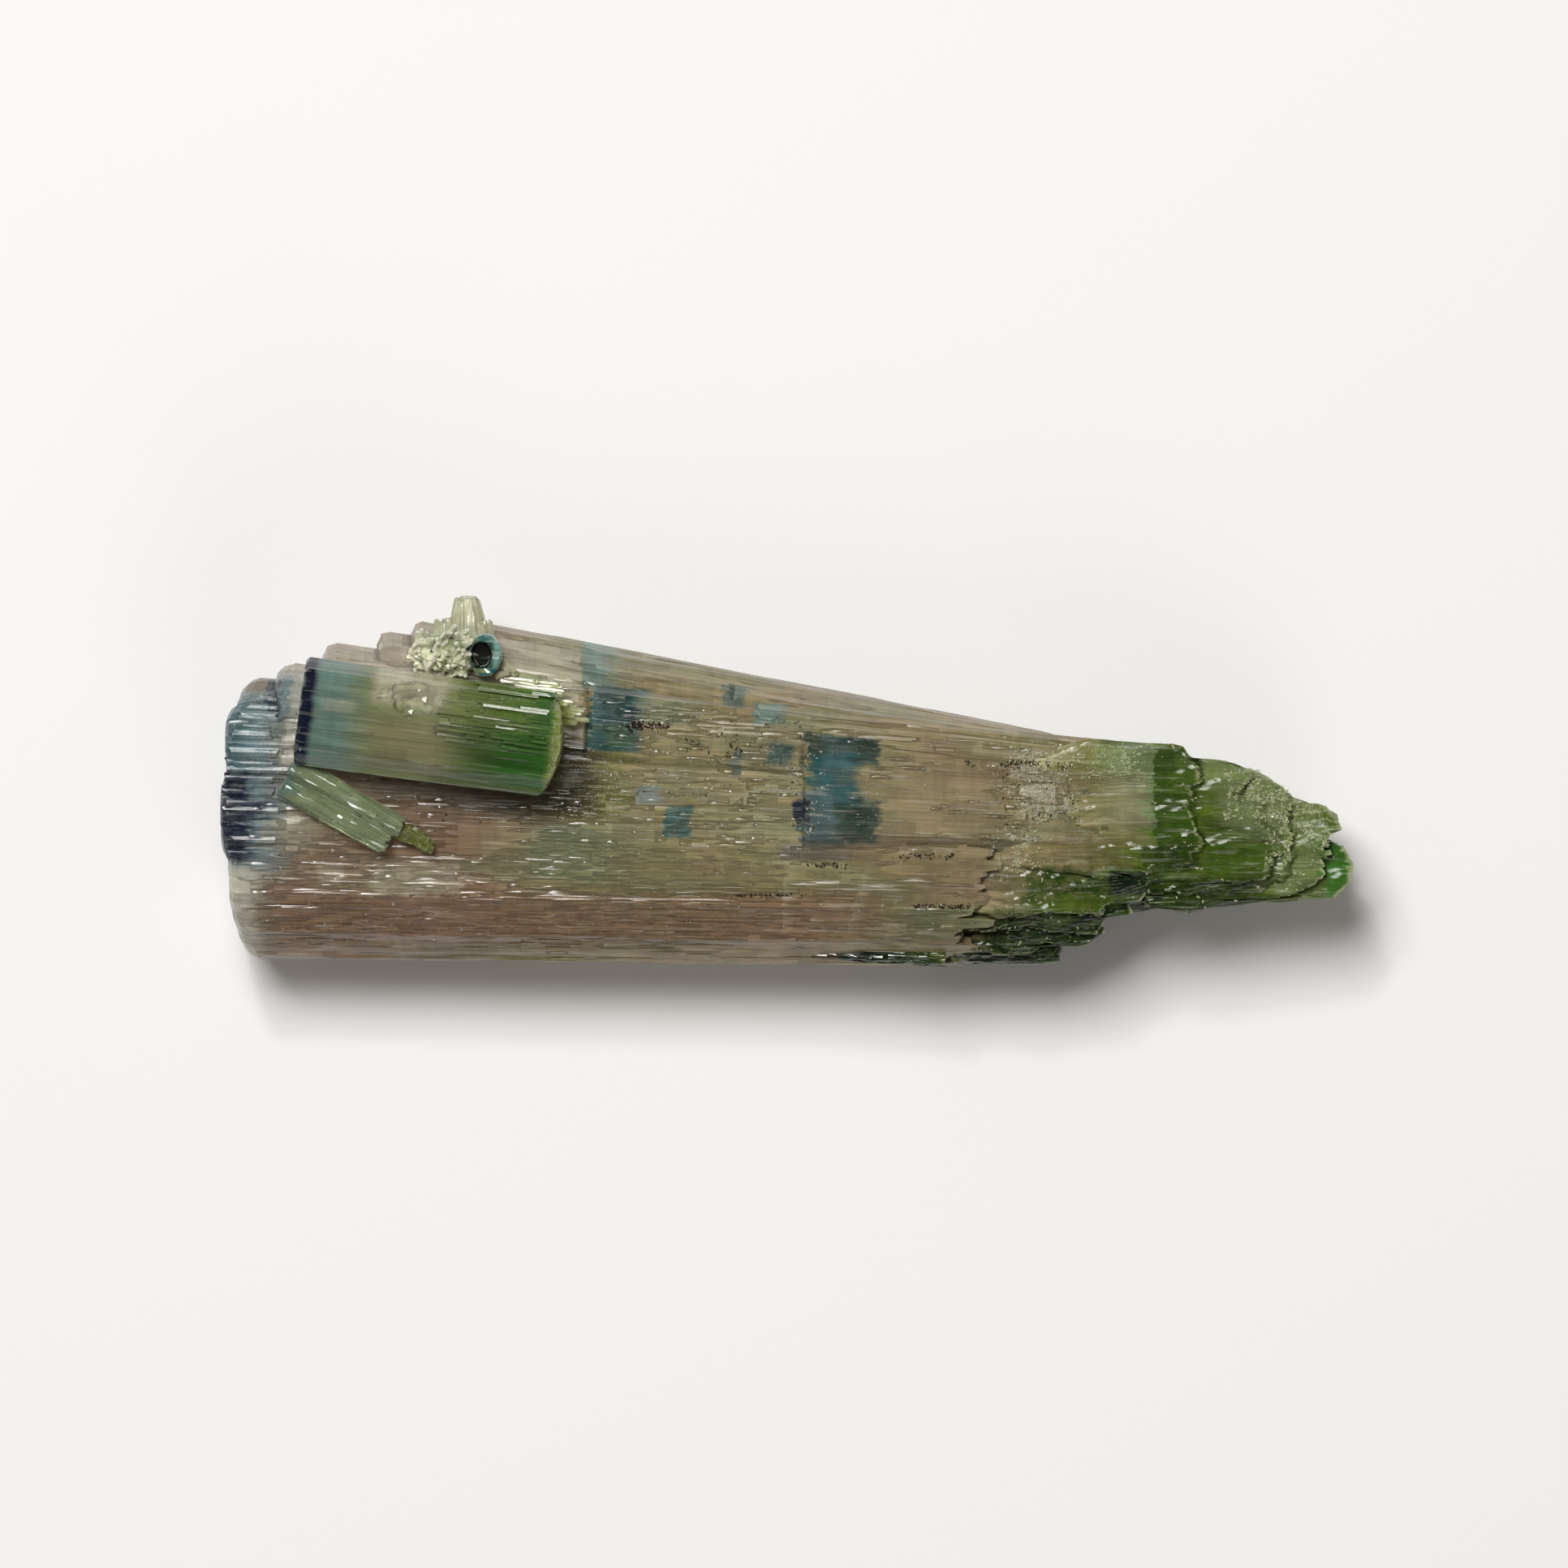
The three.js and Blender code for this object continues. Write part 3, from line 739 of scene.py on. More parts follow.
def zone_group() -> bpy.types.NodeTree:
    """Make the group that masks one colour zone: a box seen from above, with ragged or soft edges.

    Returns:
        The group. Its places are millimetres.
    """
    takes = [
        Port("Place", VECTOR), Port("Wander", VECTOR),
        Port("Left"), Port("Right"), Port("Front"), Port("Back"),
        Port("Soft Left", value=0.1), Port("Soft Right", value=0.1), Port("Soft Side", value=0.1),
        Port("Lean"), Port("Slope"), Port("Ragged", value=0.2), Port("Lowest", value=-1.0),
    ]
    wiring, given, result = new_group("colour zone", "ShaderNodeTree", takes, [Port("Mask")])
    x, y, z = wiring.parts(given["Place"])
    sway, drift, _ = wiring.parts(given["Wander"])
    lean = wiring.maths("MULTIPLY", wiring.maths("SUBTRACT", y, given["Front"]), given["Lean"])
    slope = wiring.maths("MULTIPLY", wiring.maths("SUBTRACT", x, given["Left"]), given["Slope"])
    ragged = given["Ragged"]
    run = wiring.maths("SUBTRACT", wiring.maths("MULTIPLY_ADD", sway, ragged, x), lean)
    side = wiring.maths("SUBTRACT", wiring.maths("MULTIPLY_ADD", drift, wiring.maths("MULTIPLY", ragged, 0.4), y), slope)

    def edge(value: object, at: object, soft: object, rises: bool) -> bpy.types.NodeSocket:
        low, high = wiring.maths("SUBTRACT", at, soft), wiring.maths("ADD", at, soft)
        return wiring.ramp(value, low, high, 0.0 if rises else 1.0, 1.0 if rises else 0.0)

    mask = wiring.maths(
        "MULTIPLY",
        edge(run, given["Left"], given["Soft Left"], True),
        edge(run, given["Right"], given["Soft Right"], False),
    )
    mask = wiring.maths("MULTIPLY", mask, edge(side, given["Front"], given["Soft Side"], True))
    mask = wiring.maths("MULTIPLY", mask, edge(side, given["Back"], given["Soft Side"], False))
    mask = wiring.maths("MULTIPLY", mask, edge(z, given["Lowest"], 0.6, True))
    wiring.feed(result.inputs["Mask"], mask)
    return wiring.tree


def growth_group() -> bpy.types.NodeTree:
    """Make the group of fine growth lines along the grain.

    Returns:
        The group. Its grain is millimetres along and round. It gives a height, streaks, faint cross bands and a glint
        mask, where the finishes paint white glints.
    """
    takes = [Port("Grain", VECTOR), Port("Fineness", value=1.0), Port("Length", value=10.0)]
    gives = [Port("Height"), Port("Streak"), Port("Bands"), Port("Glint")]
    wiring, given, result = new_group("growth lines", "ShaderNodeTree", takes, gives)
    along, around, _ = wiring.parts(given["Grain"])
    run = wiring.maths("DIVIDE", along, given["Length"])
    across = wiring.maths("MULTIPLY", around, given["Fineness"])
    fine = wiring.noise(wiring.joined(run, wiring.maths("MULTIPLY", across, 9.0)), 1.0, 3.0, 0.6)
    broad = wiring.noise(wiring.joined(wiring.maths("MULTIPLY", run, 0.6), wiring.maths("MULTIPLY", across, 1.6)), 1.0, 3.0, 0.6)
    ribs = wiring.parts(wiring.cells(wiring.joined(run, wiring.maths("MULTIPLY", across, 3.1)), 0.9, "MANHATTAN"))
    height = wiring.maths("ADD", wiring.maths("MULTIPLY", fine, 0.6), wiring.maths("MULTIPLY", ribs[0], 0.4))
    streak = wiring.maths("ADD", wiring.maths("MULTIPLY", fine, 0.45), wiring.maths("MULTIPLY", broad, 0.55))
    hatch = wiring.noise(wiring.joined(wiring.maths("MULTIPLY", along, 1.3), wiring.maths("MULTIPLY", around, 0.12)), 1.0, 3.0, 0.65)
    blocks = wiring.parts(wiring.cells(wiring.joined(wiring.maths("MULTIPLY", along, 0.42), wiring.maths("MULTIPLY", around, 1.3)), 0.75, "CHEBYCHEV"))
    bands = wiring.maths("ADD", wiring.maths("MULTIPLY", hatch, 0.65), wiring.maths("MULTIPLY", blocks[1], 0.35))
    glint_cells = wiring.joined(wiring.maths("MULTIPLY", along, 0.55), wiring.maths("MULTIPLY", across, 9.0))
    glint = wiring.ramp(wiring.parts(wiring.cells(glint_cells, 1.0, "MANHATTAN"))[1], 0.84, 0.97)
    for name, value in (("Height", height), ("Streak", streak), ("Bands", bands), ("Glint", glint)):
        wiring.feed(result.inputs[name], value)
    return wiring.tree


def crumble_group() -> bpy.types.NodeTree:
    """Make the group of etched, sugary texture.

    Returns:
        The group. Its place is millimetres. It gives pale grains, a mask of pits, which the finishes paint dark as the
        shade in them, and a height.
    """
    takes = [Port("Place", VECTOR), Port("Coarseness", value=0.3), Port("Amount", value=0.5)]
    gives = [Port("Grains"), Port("Pits"), Port("Height")]
    wiring, given, result = new_group("etched crumble", "ShaderNodeTree", takes, gives)
    place = wiring.vectors("DIVIDE", given["Place"], wiring.joined(*[given["Coarseness"]] * 3))
    coarse = wiring.noise(place, 1.0, 4.0, 0.7)
    fine = wiring.noise(place, 3.3, 2.0, 0.6)
    mix = wiring.maths("ADD", wiring.maths("MULTIPLY", coarse, 0.55), wiring.maths("MULTIPLY", fine, 0.45))
    level = wiring.maths("MULTIPLY_ADD", given["Amount"], -0.16, 0.63)
    grains = wiring.ramp(mix, wiring.maths("SUBTRACT", level, 0.03), wiring.maths("ADD", level, 0.05))
    pits = wiring.ramp(mix, 0.39, 0.43, 1.0, 0.0)
    for name, value in (("Grains", grains), ("Pits", pits), ("Height", mix)):
        wiring.feed(result.inputs[name], value)
    return wiring.tree


@dataclass(frozen=True)
class Zone:
    """A colour zone, as a box seen from above in millimetres."""

    hue: Hue
    left: float
    right: float
    front: float
    back: float
    strength: float = 1.0
    soft: tuple[float, float, float] = (0.12, 0.12, 0.12)
    lean: float = 0.0
    slope: float = 0.0
    ragged: float = 0.3
    lowest: float = -2.0


@dataclass(frozen=True)
class Workshop:
    """The node groups that the finishes and pieces share."""

    zone: bpy.types.NodeTree = field(default_factory=zone_group)
    growth: bpy.types.NodeTree = field(default_factory=growth_group)
    crumble: bpy.types.NodeTree = field(default_factory=crumble_group)
    striation: bpy.types.NodeTree = field(default_factory=striation_tree)
    blades: bpy.types.NodeTree = field(default_factory=blade_tree)
    crumbs: bpy.types.NodeTree = field(default_factory=crumb_tree)


@dataclass(frozen=True)
class CrystalFinish:
    """A translucent crystal finish: a colour along X, zones over it, growth lines and etched places, with painted
    glints, painted highlights on crests and painted shade in grooves and pits.
    """

    name: str
    stops: tuple[tuple[float, Hue], ...]
    zones: tuple[Zone, ...] = ()
    frost: tuple[Zone, ...] = ()
    pits: tuple[Zone, ...] = ()
    transmission: float = 0.35
    roughness: float = 0.2
    streaks: float = 0.5
    bump: float = 0.03
    crumble: float = 0.3
    crumbled: float = 0.0
    # rim_highlight and rim_highlight_hue: how strong the painted highlight on crests is, and its colour
    rim_highlight: float = 0.28
    rim_highlight_hue: Hue = Hue.PALE_GREY
    # groove_shade: how dark the painted shade in grooves gets
    groove_shade: float = 0.5
    frosting: Hue = Hue.WHITE
    straying: float = 1.0
    glints: float = 0.4
    drifting: float = 0.0
    hatched: float = 0.12
    gloss: float = 0.5
    cloudy: float = 0.7
    turn: float = 0.0
    centre: Spot = (0.0, 0.0, 0.0)

    ZONE_MARGIN = 3.0

    def within(self, low: float, high: float) -> "CrystalFinish":
        """The same finish for a stretch of the crystal, with only the zones that reach it.

        Args:
            low: Where the stretch starts along X.
            high: Where it stops.

        Returns:
            The finish.
        """
        chosen = [
            tuple(zone for zone in zones if zone.right + self.ZONE_MARGIN > low and zone.left - self.ZONE_MARGIN < high)
            for zones in (self.zones, self.frost, self.pits)
        ]
        return replace(self, name=f"{self.name} {low:g}", zones=chosen[0], frost=chosen[1], pits=chosen[2])

    def material(self, workshop: Workshop) -> bpy.types.Material:
        """Make the material.

        Args:
            workshop: The shared node groups.

        Returns:
            The material.
        """
        material = bpy.data.materials.new(self.name)
        material.use_nodes = True
        wiring = Wiring(material.node_tree)
        shader = material.node_tree.nodes["Principled BSDF"]
        place = wiring.scaled(wiring.add("ShaderNodeTexCoord").outputs["Object"], 1 / MM)
        if self.turn or any(self.centre):
            settled = wiring.vectors("SUBTRACT", place, self.centre)
            mapping = wiring.add("ShaderNodeMapping", {"Vector": settled, "Rotation": (0, 0, -self.turn)})
            place = mapping.outputs[0]
        grain = wiring.scaled(wiring.add("ShaderNodeAttribute", attribute_name="grain").outputs["Vector"], 1 / MM)
        lines = wiring.add("ShaderNodeGroup", node_tree=workshop.growth)
        wiring.feed(lines.inputs["Grain"], grain)
        wander = wiring.scaled(self.wander(wiring, place), self.straying)
        colour = self.along_colours(wiring, place, wander)
        drift = wiring.noise(wiring.vectors("MULTIPLY", place, (0.16, 0.5, 0.3)), 1.0, 3.0, 0.55)
        colour = wiring.mixed(wiring.ramp(drift, 0.46, 0.66, 0.0, self.drifting), colour, Hue.GREEN_GREY.linear())
        colour = wiring.mixed(wiring.ramp(drift, 0.3, 0.48, self.drifting, 0.0), colour, Hue.BLUSH.linear())
        mottle = wiring.ramp(wiring.noise(wiring.scaled(place, 1.3), 1.0, 4.0, 0.65), 0.35, 0.62, self.cloudy, 1.0)
        for zone in self.zones:
            mask = wiring.maths("MULTIPLY", self.mask(wiring, workshop, zone, place, wander), mottle)
            colour = wiring.mixed(wiring.maths("MULTIPLY", mask, zone.strength), colour, zone.hue.linear())
        shade = wiring.ramp(lines.outputs["Streak"], 0.34, 0.64, 1 - self.streaks * 0.5, 1 + self.streaks * 0.5)
        shade = wiring.maths("MULTIPLY", shade, wiring.ramp(lines.outputs["Bands"], 0.34, 0.66, 1 - self.hatched, 1 + self.hatched))
        # painted glints: white streaks where small facets would catch the light
        patchy = wiring.ramp(wiring.noise(wiring.scaled(place, 0.45), 1.0, 2.0, 0.5), 0.42, 0.62, 0.15, self.glints)
        colour = wiring.mixed(wiring.maths("MULTIPLY", lines.outputs["Glint"], patchy), colour, Hue.WHITE.linear())
        colour = wiring.mixed(1.0, colour, wiring.joined(shade, shade, shade), "MULTIPLY")
        crest = wiring.add("ShaderNodeAttribute", attribute_name="crest").outputs["Fac"]
        # painted shade: the colour is darker in grooves, where the crest attribute is low
        groove = wiring.ramp(crest, -0.4, -0.04, self.groove_shade, 1.0)
        colour = wiring.mixed(1.0, colour, wiring.joined(groove, groove, groove), "MULTIPLY")
        # painted highlight: crests and edges are lightened with the rim hue, where the crest attribute is high
        colour = wiring.mixed(wiring.ramp(crest, 0.08, 0.45, 0.0, self.rim_highlight), colour, self.rim_highlight_hue.linear())
        etched = wiring.add("ShaderNodeGroup", node_tree=workshop.crumble)
        wiring.feed(etched.inputs["Place"], place)
        etched.inputs["Coarseness"].default_value = self.crumble
        frosted = self.gathered(wiring, workshop, self.frost, place, wander, self.crumbled)
        wiring.feed(etched.inputs["Amount"], frosted)
        pale = wiring.maths("MULTIPLY", etched.outputs["Grains"], wiring.ramp(frosted, 0.02, 0.3))
        colour = wiring.mixed(wiring.maths("MULTIPLY", pale, 0.6), colour, self.frosting.linear())
        # painted shade of etch pits: the pits' mask darkens the colour towards near black
        if self.pits:
            pitted = self.gathered(wiring, workshop, self.pits, place, wander, 0.0)
            dark = wiring.maths("MULTIPLY", etched.outputs["Pits"], wiring.ramp(pitted, 0.1, 0.5))
            colour = wiring.mixed(dark, colour, Hue.NEAR_BLACK.linear())
        rough = wiring.maths("MULTIPLY_ADD", pale, 0.35, self.roughness)
        height = wiring.maths("ADD", lines.outputs["Height"], wiring.maths("MULTIPLY", etched.outputs["Height"], wiring.maths("MULTIPLY", frosted, 3.0)))
        bump = wiring.add("ShaderNodeBump", {"Height": height, "Distance": self.bump * MM, "Strength": 1.0})
        for name, value in (("Base Color", colour), ("Roughness", rough), ("Normal", bump.outputs[0])):
            wiring.feed(shader.inputs[name], value)
        shader.inputs["Metallic"].default_value = 0.0
        shader.inputs["Transmission Weight"].default_value = self.transmission
        shader.inputs["IOR"].default_value = CRYSTAL_IOR
        shader.inputs["Specular IOR Level"].default_value = self.gloss
        return material

    @staticmethod
    def wander(wiring: Wiring, place: bpy.types.NodeSocket) -> bpy.types.NodeSocket:
        """How far the zones' edges stray: stepped from rib to rib along X, and smooth across."""
        x, y, _ = wiring.parts(place)
        teeth = wiring.cells(wiring.joined(wiring.maths("MULTIPLY", x, 0.25), wiring.maths("MULTIPLY", y, 3.0)), 1.0, "MANHATTAN")
        tooth = wiring.maths("SUBTRACT", wiring.parts(teeth)[0], 0.5)
        smooth = wiring.maths("SUBTRACT", wiring.noise(wiring.scaled(place, 0.9), 1.0, 3.0, 0.6), 0.5)
        drift = wiring.maths("SUBTRACT", wiring.noise(wiring.scaled(place, 1.7), 1.0, 3.0, 0.6), 0.5)
        sway = wiring.maths("ADD", wiring.maths("MULTIPLY", tooth, 1.2), wiring.maths("MULTIPLY", smooth, 2.4))
        return wiring.joined(sway, wiring.maths("MULTIPLY", drift, 3.0))

    def along_colours(self, wiring: Wiring, place: object, wander: object) -> bpy.types.NodeSocket:
        """The colour along the crystal, blended from stop to stop."""
        x = wiring.maths("ADD", wiring.parts(place)[0], wiring.parts(wander)[0])
        colour = self.stops[0][1].linear()
        for (low, _), (high, hue) in zip(self.stops, self.stops[1:]):
            colour = wiring.mixed(wiring.ramp(x, low, high), colour, hue.linear())
        if not isinstance(colour, bpy.types.NodeSocket):
            colour = wiring.mixed(0.0, colour, colour)
        return colour

    @staticmethod
    def mask(wiring: Wiring, workshop: Workshop, zone: Zone, place: object, wander: object):
        """The mask of one zone."""
        given = {
            "Place": place, "Wander": wander, "Left": zone.left, "Right": zone.right, "Front": zone.front,
            "Back": zone.back, "Soft Left": zone.soft[0], "Soft Right": zone.soft[1], "Soft Side": zone.soft[2],
            "Lean": zone.lean, "Slope": zone.slope, "Ragged": zone.ragged, "Lowest": zone.lowest,
        }
        node = wiring.add("ShaderNodeGroup", node_tree=workshop.zone)
        for name, value in given.items():
            wiring.feed(node.inputs[name], value)
        return node.outputs["Mask"]

    def gathered(self, wiring: Wiring, workshop: Workshop, zones: tuple[Zone, ...], place: object, wander: object, least: float):
        """The strongest of several zones' masks at each place."""
        total = wiring.maths("ADD", least, 0.0)
        for zone in zones:
            mask = wiring.maths("MULTIPLY", self.mask(wiring, workshop, zone, place, wander), zone.strength)
            total = wiring.maths("MAXIMUM", total, mask)
        return total


# The body

BODY_COLUMNS = (
    Column(
        "main", -34.45, 13.6,
        ((-6.6, 0), (-9.5, 2), (-10.95, 5.4), (-10.82, 7.3), (-9.2, 9.4), (-6.9, 10.7), (-3, 11.2), (2.2, 11.3),
         (4.8, 10.3), (6.2, 8), (6.4, 4.8), (5.2, 2), (2.8, 0)),
        (0.84, 1), (-2.25, 0), 0.6, bowed=1.3, undercut=4.5, far_ragged=8.0,
        relief=Relief(end_cell=0.5), near_ragged=0.35,
    ),
    Column(
        "inner back", -31.3, 12,
        ((0.5, 1.3), (4.6, 1.6), (6.4, 3.6), (7.3, 6.4), (6.2, 9.2), (3.6, 10.5), (0.5, 9.6)),
        (0.62, 0.9), (-2, 0.4), 0.9,
    ),
    Column(
        "second back", -28.9, 14,
        ((2.5, 1.5), (6.6, 2.2), (8.4, 4.6), (8.7, 6.6), (7.6, 8.9), (4.4, 10.2), (2.5, 9.4)),
        (0.6, 0.85), (-2.3, 0.6), 1.1,
    ),
    Column(
        "third back", -25.4, 15,
        ((3, 1.6), (7.4, 2.4), (9.1, 4.6), (9.4, 6.2), (8.5, 8), (5.2, 9.8), (3, 9.2)),
        (0.6, 0.82), (-2.75, 0.8), 0.9,
    ),
    Column(
        "fourth back", -23.5, 15.6,
        ((3, 1.8), (7.8, 2.3), (9.6, 4.4), (9.95, 5.8), (9.2, 7.4), (6, 9.5), (3, 9.2)),
        (0.6, 0.8), (-2.95, 1), 0.8,
    ),
    Column(
        "outer back", -21.4, 17.2,
        ((3, 2), (8.2, 2.6), (9.9, 4.3), (10.3, 5.8), (9.9, 7.4), (8.6, 9.2), (7, 10.4), (5.2, 11.2), (3, 11.3)),
        (0.6, 0.85), (-3.4, 1.6), 0.7,
    ),
    Column(
        "back panel", -12.65, 9,
        ((4.4, 8), (7.2, 6.4), (8.2, 6.9), (7.4, 8.7), (5.8, 10.3), (4.2, 11.1)),
        (0.84, 0.98), (-3, 0.2), 0.2,
    ),
    Column(
        "back ridge", -3.6, 13,
        ((3.2, 8), (5.9, 8), (5.97, 8.75), (5.45, 9.65), (4.5, 10.5), (3.2, 11.2)),
        (0.7, 0.98), (-1.03, -0.1), 0.2,
    ),
    Column(
        "back shoulder", -2.05, 18.5,
        ((1.4, 9), (4.6, 9.2), (4.72, 10.4), (4.3, 10.95), (2.4, 11.65), (1.4, 11.2)),
        (0.75, 0.95), (-0.95, 0), 0.2,
    ),
    Column(
        "raised narrow", -12.4, 17.5,
        ((0.8, 8), (5.4, 8.2), (5.8, 10.6), (5.55, 11.45), (5.2, 11.66), (3.4, 11.7), (1.8, 11.65), (1.1, 10.9)),
        (0.75, 0.95), (-2.2, 0), 0.25,
    ),
    Column(
        "raised big", 0.85, 20.5,
        ((-4.6, 8.5), (2.4, 8.5), (3, 10.9), (2.3, 11.9), (-3.2, 12.2), (-4.2, 11.3)),
        (0.82, 0.905), (-1.2, -0.1), 0.45, far_ragged=4.0,
    ),
    Column(
        "left ridged", -34.6, -20,
        ((-0.8, 7.2), (3.6, 7.6), (5, 9.2), (5.1, 10.6), (3.9, 11.9), (1.8, 12.2), (0.3, 11.8), (-0.4, 10.6)),
        (1, 0.95), (-1, -0.3), 0.55, bowed=1.1,
        relief=Relief(spacing=0.6, depth=0.2, breaks=14, calm_top=0, end_cell=1.8, ragged=0.5), pitch=0.13,
    ),
    Column(
        "left navy", -34.9, -22,
        ((-5, 3.4), (0.2, 3.4), (0.7, 9.6), (-0.2, 11.7), (-3.6, 11.6), (-5.2, 10.2)),
        (1, 0.95), (0, -0.2), 0.4, bowed=0.5,
        relief=Relief(spacing=0.6, depth=0.16, breaks=5, calm_top=0.3, end_cell=1.8, ragged=0.5),
    ),
    Column(
        "left upper", -31.6, -20,
        ((3.4, 6.2), (6.4, 7), (7.2, 9), (6.3, 11.2), (4.6, 11.9), (3, 11)),
        (1, 0.9), (-1, 0), 0.5, bowed=0.5,
    ),
)


@dataclass(frozen=True)
class Shingle:
    """A flat layer seen from above, built of parallel blades: its lowest and highest z and its corners (x, y)."""

    bottom: float
    top: float
    corners: Outline
    pitch: float = 0.16
    stray: float = 1.0
    uneven: float = 0.05
    roll: float = 0.12
    plates: int = 4
    slope: float = 0.0
    lean: float = 0.04

    ROW_WIDTHS = (0.4, 1.9)
    OVERLAP = 1.3
    WAVES = ((0.9, 0.7), (2.6, 0.35))
    CHANCE = 0.14
    PLATE_ROWS = (2, 8)
    PLATE_RISE = (0.05, 0.2)
    LEAST_LENGTH = 0.4

    def crossings(self, y: float) -> tuple[float, float] | None:
        """The layer's left and right edge at one y."""
        hits = [
            lerp(x, next_x, (y - at) / (next_y - at))
            for (x, at), (next_x, next_y) in zip(self.corners, self.corners[1:] + self.corners[:1])
            if (at <= y) != (next_y <= y)
        ]
        return (min(hits), max(hits)) if hits else None

    def wave(self, y: float) -> float:
        """How far the layer's right edge bends in and out at one y."""
        return sum(noise.noise(Vector((y * often, self.top, self.bottom))) * share for often, share in self.WAVES)

    def blades(self, draw: random.Random) -> list["Blade"]:
        """Lay the blades: one for each row, and shorter raised ones where plates lie on the layer.

        Args:
            draw: The seeded random numbers.

        Returns:
            The blades.
        """
        low, high = min(y for _, y in self.corners), max(y for _, y in self.corners)
        plates = [self.plate(round((high - low) / self.pitch), draw) for _ in range(self.plates)]
        found, y, row = [], low, 0
        while y < high:
            width = self.pitch * draw.uniform(*self.ROW_WIDTHS)
            y += width / 2
            edges = self.crossings(min(y, high - 0.01))
            wave = self.wave(y) + draw.uniform(-self.CHANCE, self.CHANCE)
            left, right = edges[0] + draw.uniform(-0.5, 0.5) * self.stray, edges[1] + (wave - 0.4) * self.stray
            top = self.top + self.slope * (y - high) + draw.uniform(-0.6, 0.6) * self.uneven
            spans = [(left, right, top)]
            for first, last, start, stop, rise in plates:
                if first <= row <= last:
                    strays = [draw.uniform(-1, 1) * self.stray for _ in range(2)]
                    stop_at = min(right, lerp(left, right, stop) + strays[1])
                    spans.append((lerp(left, right, start) + strays[0], stop_at, top + rise))
            found += [
                upright(
                    (start, y, self.bottom), (stop, y, height), width * self.OVERLAP,
                    math.atan(self.slope) + self.lean + draw.uniform(-1, 1) * self.roll,
                )
                for start, stop, height in spans
                if stop - start > self.LEAST_LENGTH
            ]
            y += width / 2
            row += 1
        return found

    def plate(self, rows: int, draw: random.Random) -> tuple[int, int, float, float, float]:
        """Pick a raised plate: its first and last row, where it starts and stops, and its rise."""
        first = draw.randrange(rows)
        start = draw.uniform(-0.2, 0.75)
        return (
            first, first + draw.randint(*self.PLATE_ROWS), max(0.02, start), start + draw.uniform(0.2, 0.6),
            draw.uniform(*self.PLATE_RISE),
        )


@dataclass(frozen=True)
class Blade:
    """A thin straight blade: its middle and its length, width and height in millimetres, and its turn."""

    middle: Spot
    span: Spot
    turn: Spot = (0.0, 0.0, 0.0)


def upright(low: Spot, high: Spot, width: float, roll: float) -> Blade:
    """A blade along X between two opposite corners of its middle plane."""
    middle = tuple((a + b) / 2 for a, b in zip(low, high))
    return Blade(middle, (high[0] - low[0], width, high[2] - low[2]), (roll, 0.0, 0.0))


def step(left: float, right: float, front: float, back: float, top: float, slope: float = 0.0) -> Shingle:
    """A low step on the top of the body, as a layer."""
    corners = ((left, front), (right, front), (right, back), (left, back))
    return Shingle(top - 1.6, top, corners, pitch=0.25, stray=0.9, uneven=0.015, roll=0.0, plates=0, slope=slope)


STEPS = (
    step(-9.25, -2, -1.4, -0.35, 11.32),
    step(-1.25, 2, 0.95, 2.3, 11.37),
    step(-3.6, -1.9, 1, 1.9, 11.36),
    step(-0.6, 4, -4.9, -3.9, 11.17, 0.1),
    step(-16.2, 0.5, -5.9, -2.4, 11.24, 0.13),
)

@dataclass(frozen=True)
class Layer:
    """One layer of the right end: its lowest and highest z, and its edge seen from above as corners (x, y)."""

    bottom: float
    top: float
    corners: Outline

    def crossings(self, y: float) -> tuple[float, float] | None:
        """The layer's left and right edge at one y."""
        hits = [
            lerp(x, next_x, (y - at) / (next_y - at))
            for (x, at), (next_x, next_y) in zip(self.corners, self.corners[1:] + self.corners[:1])
            if (at <= y) != (next_y <= y)
        ]
        return (min(hits), max(hits)) if hits else None

    def inside(self, x: float, y: float) -> float:
        """How far inside the layer's edge a place is, seen from above. Outside it is less than 0."""
        nearest, within = math.inf, False
        for (ax, ay), (bx, by) in zip(self.corners, self.corners[1:] + self.corners[:1]):
            ux, uy = bx - ax, by - ay
            share = min(1.0, max(0.0, ((x - ax) * ux + (y - ay) * uy) / (ux * ux + uy * uy)))
            nearest = min(nearest, math.hypot(x - ax - ux * share, y - ay - uy * share))
            if (ay <= y) != (by <= y) and x < ax + ux * (y - ay) / uy:
                within = not within
        return nearest if within else -nearest


